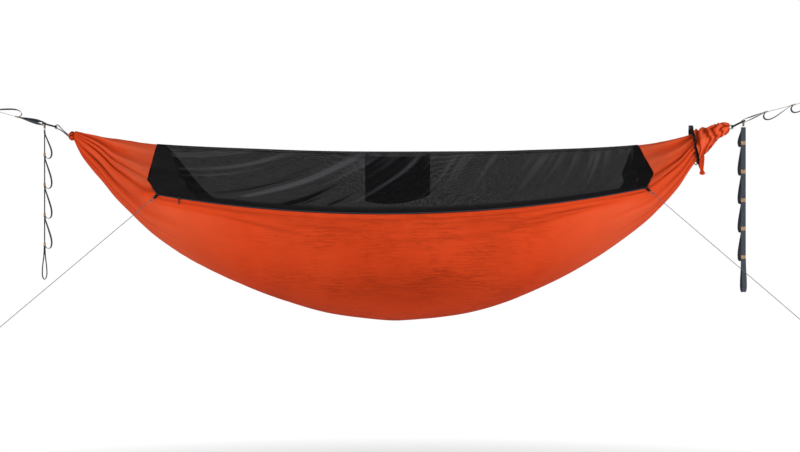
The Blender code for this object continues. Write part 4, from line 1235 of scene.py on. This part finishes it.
# %% Straps
AT_HOME = Matrix.Identity(4)
BINER_LENGTH = 0.062
BINER_SLOPE = {"left": math.radians(-15), "right": math.radians(26)}
RUN_TACKS = {
    "left": [(-1.459, 0.038), (-1.563, 0.0685)],
    "right": [(1.387, 0.057), (1.4915, 0.084), (1.596, 0.111)]}
OPEN_LOOP = {"left": 0.026, "right": 0.030}
EYE_LENGTH = 0.072
EYE_HALF_HEIGHT = 0.013
LOOP_BULGE = 0.027
END_LOOP = 0.128
END_LOOP_HALF = 0.009
TAIL_PITCH = {"left": 0.114, "right": 0.1085}
TAIL_FIRST = {"left": 0.098, "right": 0.062}
TAIL_TACKS = {"left": 4, "right": 5}
TAIL_TWIST = {"left": 0.0, "right": math.radians(-72)}
RUN_TWIST = {"left": (-0.52, 1.5), "right": (0.20, 1.0)}
WIDE_STEPS = 8                 # faces across the webbing
TACK_ROWS = 4
TACK_THICK = 0.0046            # two layers of webbing with the thread over them
FOLD_THICK = 0.0042
THREAD_RADIUS = 0.00045


def biner_point(name, toward_tree, up):
    side, slope = SIDES[name], BINER_SLOPE[name]
    away = Vector((side * math.cos(slope), 0.0, side * math.sin(slope)))
    upward = Vector((-math.sin(slope), 0.0, math.cos(slope)))
    centre = Vector((BEARING_X[name], 0.0, 0.0)) + away * (BINER_LENGTH / 2 - ROD)
    return centre + away * toward_tree + upward * up


def fold_place(name):
    return biner_point(name, 0.0171, -0.011)


def tail_hinge(name):
    return fold_place(name) + Vector((0.0, 0.0, -TACK_HEIGHT / 2 - 0.0012))


def band_into(shape, route, place=AT_HOME, twist=0.0, late=1.0):
    """Webbing along a route in the XZ plane: two faces and two rounded edges.

    A twist turns its face toward the viewer, most halfway along, or later for late above 1."""
    route = [Vector((point[0], 0.0, point[-1])) for point in route]
    half = WEB_WIDTH / 2
    outline = []
    for y in spread(-half, half, WIDE_STEPS + 1):
        outline.append((y, 1 - 0.45 * max(abs(y) / half - 0.86, 0) / 0.14))
    rows = []
    for index, point in enumerate(route):
        ahead = heading(route, index)
        share = (index / (len(route) - 1)) ** late
        turned = Matrix.Rotation(twist * math.sin(math.pi * share), 3, ahead)
        square = turned @ Vector((-ahead.z, 0.0, ahead.x)) * (WEB_THICK / 2)
        wide = turned @ Vector((0.0, 1.0, 0.0))
        row = [point + wide * y + square * edge for y, edge in outline]
        row += [point + wide * y - square * edge for y, edge in reversed(outline)]
        rows.append([place @ spot for spot in row])
    solid_into(shape, rows)


def beside_route(start, along, count, offsets):
    """A smooth route through points given as lengths along a line and off it."""
    across = Vector((-along.z, 0.0, along.x))
    return smooth_route([start + along * u + across * v for u, v in offsets], count)


def loop_route(start, end, bulge, past=0.014):
    """A slack loop between two bar tacks; it hangs past the second one and comes back to it."""
    along = (end - start).normalized()
    length = (end - start).length
    lift = math.copysign(0.0016, bulge)
    return beside_route(start, along, 44, [
        (0.004, lift), (0.16 * length, 0.10 * bulge), (0.45 * length, 0.50 * bulge),
        (0.74 * length, 0.88 * bulge), (0.93 * length, 1.0 * bulge),
        (length + 0.52 * past, 0.90 * bulge), (length + 0.94 * past, 0.60 * bulge),
        (length + 0.82 * past, 0.30 * bulge), (length + 0.40 * past, 0.11 * bulge),
        (length + 0.004, lift)])


def teardrop(start, along, length, half, lift):
    """A closed loop of webbing beyond a bar tack."""
    leg = [(0.30 * length, 0.32 * half), (0.62 * length, 0.85 * half), (0.88 * length, 0.90 * half)]
    back = [(u, -v) for u, v in reversed(leg)]
    return beside_route(
        start, along, 60, [(0.0, lift), *leg, (length, 0.0), *back, (0.0, -lift)])


def tack_into(shape, centre, along, thick, place=AT_HOME):
    """Bar tack: a dense block of zigzag thread across both faces of the webbing."""
    across = Vector((-along.z, 0.0, along.x))
    for face in (-1, 1):
        level = centre + across * (face * (thick / 2 - 0.0001))
        for row in range(TACK_ROWS):
            middle = (row - (TACK_ROWS - 1) / 2) * TACK_HEIGHT / TACK_ROWS
            line = []
            for step in range(25):
                y = (step / 24 - 0.5) * (WEB_WIDTH - 0.003)
                reach = middle + (0.0015 if step % 2 else -0.0015)
                line.append(place @ (level + along * reach + Vector((0, y, 0))))
            solid_into(shape, tube_rows(line, THREAD_RADIUS, 5))


def block_into(shape, centre, along, thick, place=AT_HOME):
    """The webbing pressed together under the thread."""
    across = Vector((-along.z, 0.0, along.x))
    rows = []
    for reach, full in ((-0.5, 0.7), (-0.42, 1.0), (0.42, 1.0), (0.5, 0.7)):
        row = []
        for turn in circle(24):
            flat, high = math.cos(turn), math.sin(turn)
            size = rounded(flat, high, 8)
            y = (WEB_WIDTH / 2 - 0.0004) * flat / size
            out = (thick / 2 - 0.0004) * full * high / size
            row.append(place @ (
                centre + along * (TACK_HEIGHT * reach) + across * out + Vector((0, y, 0))))
        rows.append(row)
    solid_into(shape, rows)


def sew_into(shape, centre, along, thick, place=AT_HOME):
    """A bar tack on its pressed webbing."""
    block_into(shape, centre, along, thick, place)
    tack_into(shape, centre, along, thick, place)


def make_strap(name):
    side = SIDES[name]
    tacks = [Vector((x, 0.0, z)) for x, z in RUN_TACKS[name]]
    fold = fold_place(name)
    lift = Vector((0.0, 0.0, 0.0016))
    outer = Vector((side * 0.0010, 0.0, 0.0))
    under = Vector((0, 0, -0.006))
    webbing = bmesh.new()
    thread = bmesh.new()
    corner = [
        biner_point(name, 0.036, -0.0056), biner_point(name, 0.024, -0.0062),
        fold + outer + Vector((side * 0.0012, 0, 0.0035)), fold + outer, fold + outer + under]
    band_into(webbing, smooth_route(tacks[::-1], 30))
    band_into(webbing, smooth_route([tacks[0], *corner[:2]], 24), AT_HOME, *RUN_TWIST[name])
    band_into(webbing, smooth_route(corner[1:], 24))
    taut = [
        tacks[0] + lift, biner_point(name, 0.034, 0.0056), biner_point(name, 0.024, 0.0056)]
    drop = [
        biner_point(name, 0.0205, 0.0054), biner_point(name, 0.0172, 0.0034),
        biner_point(name, 0.0162, 0.0), fold - outer + Vector((0, 0, 0.004)),
        fold - outer + under]
    band_into(webbing, smooth_route(taut, 24), AT_HOME, *RUN_TWIST[name])
    band_into(webbing, smooth_route([taut[-1], *drop], 30))
    for near, far in zip(tacks, tacks[1:]):
        band_into(webbing, loop_route(far, near, OPEN_LOOP[name]), twist=side * 0.22)
    along = (tacks[-1] - tacks[-2]).normalized()
    band_into(webbing, teardrop(
        tacks[-1] + along * 0.004, along, EYE_LENGTH, EYE_HALF_HEIGHT, 0.0010))
    for centre, after in zip(tacks, [*tacks[1:], tacks[-1] + along]):
        sew_into(thread, centre + lift * 0.4, (after - centre).normalized(), TACK_THICK)
    sew_into(thread, fold, Vector((0, 0, 1)), FOLD_THICK)
    put_in_place(webbing, f"strap_webbing_{name}", WEBBING, "tree_straps", [f"strap_{name}"])
    put_in_place(thread, f"strap_tacks_{name}", TAN_THREAD, "tree_straps")


def make_tail(name):
    down = Vector((0.0, 0.0, -1.0))
    place = Matrix.Translation(tail_hinge(name)) @ Matrix.Rotation(TAIL_TWIST[name], 4, "Z")
    bulge = LOOP_BULGE if name == "left" else -LOOP_BULGE
    places = [down * (TAIL_FIRST[name] + TAIL_PITCH[name] * index)
              for index in range(TAIL_TACKS[name])]
    webbing = bmesh.new()
    thread = bmesh.new()
    top = down * 0.0021
    band_into(webbing, smooth_route([top, places[0], places[-1] + down * 0.006], 60), place)
    block_into(webbing, top + down * (0.0003 + TACK_HEIGHT / 2), down, 0.0036, place)
    start = down * 0.008
    for end in places:
        band_into(webbing, loop_route(start, end, bulge, 0.015), place, twist=0.12)
        sew_into(thread, end, down, TACK_THICK, place)
        start = end
    band_into(webbing, teardrop(
        places[-1] + down * 0.004, down, END_LOOP, END_LOOP_HALF, 0.0010), place)
    body = f"tail_{name}"
    put_in_place(webbing, f"tail_webbing_{name}", WEBBING, body, [body])
    put_in_place(thread, f"tail_tacks_{name}", TAN_THREAD, body)


for name in SIDES:
    make_strap(name)
    make_tail(name)
print("straps made")

# %% [markdown]
# ## Stuff sack
# The hammock's own sack, pushed back over the right end and ruffled. Its drawcord runs round
# the mouth and through the cord lock, and a loose corner hangs below.

# %% Stuff sack
SACK_START = 1.098
SACK_END = 1.246
SACK_SIDES = 20                # places are counted round the sack from 0 to this
SACK_BASE = 0.0102             # how far the sack's inside stands off the cloth
SACK_RUFFLE = 0.0108
SACK_CORNER_X = 1.113
SACK_ROWS = 90
SACK_ROUND = 140
DRAW_LIFT = 0.0022
DRAW_PLACE = 0.8


def sack_point(x, place, outward):
    inner = min(x, CLOTH_RIGHT)
    centre = gather_centre(inner)
    away = ring_point(inner, place % SACK_SIDES * AROUND / SACK_SIDES) - centre
    away += away.normalized() * (SACK_BASE + outward)
    beyond = max(x - CLOTH_RIGHT, 0.0) / (SACK_END - CLOTH_RIGHT)
    return Vector((x, 0.0, centre.z * (1 - beyond))) + away * (1 - 0.46 * beyond ** 1.5)


def mouth_slant(place):
    """The sack's mouth starts later below than above."""
    return 0.028 * (0.5 - 0.5 * math.cos(2 * math.pi * place / SACK_SIDES))


def sack_share(x):
    """0 at the sack's mouth and 1 at its closed end."""
    return clip((x - SACK_START) / (SACK_END - SACK_START))


def sack_fold(x, place):
    """0 in the valleys between the sack's ruffles and 1 on top of them."""
    share = sack_share(x)
    turn = 2 * math.pi * place / SACK_SIDES
    uneven = grain(share * 5, 1.4 * math.cos(turn), 1.4 * math.sin(turn) + 9)
    return 0.5 + 0.5 * math.sin(share * 26 + 1.1 * math.sin(3 * turn) + 2 * turn + 5 * uneven)


def sack_surface(x, place):
    """Folds run round the sack, close together, and smaller ones cross them."""
    x += mouth_slant(place) * max(SACK_END - x, 0.0) / (SACK_END - SACK_START)
    share = sack_share(x)
    turn = 2 * math.pi * place / SACK_SIDES
    flat, high = math.cos(turn), math.sin(turn)
    lump = grain(share * 9, flat * 1.6, high * 1.6)
    small = grain(share * 26, flat * 4.5, high * 4.5)
    height = SACK_RUFFLE * (1 - 0.70 * share) * sack_fold(x, place)
    slack = 0.010 * (0.5 - 0.5 * flat) * min(6 * share, 1.0) - 0.004 * (1 - share)
    return sack_point(x, place, height + slack + 0.0046 * lump + 0.0030 * small)


def make_sack():
    rows = []
    heights = []
    places = [SACK_SIDES * step / SACK_ROUND for step in range(SACK_ROUND + 1)]
    for x in spread(SACK_START, SACK_END, SACK_ROWS):
        rows.append([sack_surface(x, place) for place in places[:-1]])
        # painted shade in the valleys between the ruffles and painted light on their tops
        heights += [sack_fold(x, place) - 0.34 for place in places[:-1]]
    sack = make_sheet("sack_sleeve", rows, ORANGE, "hammock", ["stuff_sack"], closed=True)
    mark_folds(sack, heights)
    channel = [sack_surface(SACK_START + 0.0015, place) for place in places]
    make_tube("sack_hem", channel, 0.0042, BLACK_CLOTH, "hammock", sides=12)


def sack_mouth(place, lift):
    return sack_point(SACK_START - 0.004 + mouth_slant(place), place, SACK_RUFFLE + lift)


def lock_frame():
    start = sack_mouth(DRAW_PLACE, 0.0)
    along = (sack_mouth(DRAW_PLACE + 2.4, 0.0) - start).normalized()
    across = Vector((1.0, 0.0, 0.0))
    across = (across - along * across.dot(along)).normalized()
    out = across.cross(along).normalized()
    out *= math.copysign(1.0, out.z)
    return start + out * 0.0165, along, across, out


def make_drawcord():
    points = [sack_mouth(DRAW_PLACE + SACK_SIDES * step / 60, DRAW_LIFT) for step in range(2, 59)]
    origin, along, across, out = lock_frame()
    ends = [[origin + across * (side * 0.0040) + along * reach
             for reach in (-0.016, -0.009, 0.010, 0.060)] for side in (-1, 1)]
    under = origin + across * 0.0020 - along * 0.018 - out * 0.0095
    route = smooth_route([*reversed(ends[1]), under, *points, *ends[0]], 260)
    make_tube("sack_drawcord", route, DRAW_RADIUS, BLACK_CORD, "hammock", ["drawcord"])
    for word, end in zip(("one", "two"), ends):
        tip = [end[-1] + along * reach for reach in (-0.006, -0.003, 0.0005)]
        make_tube(f"drawcord_tip_{word}", tip, DRAW_RADIUS * 1.15, PLASTIC, "hammock")


def make_sack_corner():
    """The sack's loose corner: a limp twisted tip that widens a little at its end."""
    low = sack_surface(SACK_CORNER_X, SACK_SIDES / 2)
    profile = smooth_route([
        (0.0006, 0, 0.0045), (0.004, 0, 0.010), (0.016, 0, 0.0115), (0.030, 0, 0.009),
        (0.042, 0, 0.0065), (0.050, 0, 0.0085), (0.056, 0, 0.0075), (0.0592, 0, 0.0015)], 44)
    rows = []
    for spot in profile:
        drop = spot.x
        row = []
        for turn in circle(64):
            uneven = round_grain(turn, 2, drop * 40)
            reach = spot.z * (1 + 0.20 * math.cos(4 * (turn + 28 * drop)) + 0.30 * uneven)
            x = low.x + 0.12 * drop + reach * math.cos(turn)
            under = sack_surface(x, SACK_SIDES / 2).z
            height = under + (low.z - under) * min(drop / 0.024, 1.0) + 0.002 - drop
            row.append(Vector((x, 0.7 * reach * math.sin(turn), height)))
        rows.append(row)
    make_solid("sack_loose_corner", rows, ORANGE, "hammock", ["sack_corner"])


make_sack()
make_drawcord()
make_sack_corner()
print("stuff sack made")

# %% [markdown]
# ## Rigid pieces
# Carabiners, gates, rivets, the zip's slider and the cord lock keep their solids, which have
# the real shapes. They get their own finishes.

# %% Rigid pieces
FINISHES = {
    "carabiner_left": ANODISED, "carabiner_right": ANODISED, "gate_left": ANODISED,
    "gate_right": ANODISED, "gate_rivet_left": STEEL, "gate_rivet_right": STEEL,
    "zip_slider": GUNMETAL, "zip_pull": GUNMETAL, "cord_lock": PLASTIC, "cord_lock_button": PLASTIC}
for node, surface in FINISHES.items():
    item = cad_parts[node]
    if not item.data.materials:
        item.data.materials.append(surface)
    for place in item.material_slots:
        place.material = surface
print("rigid pieces", len(FINISHES))
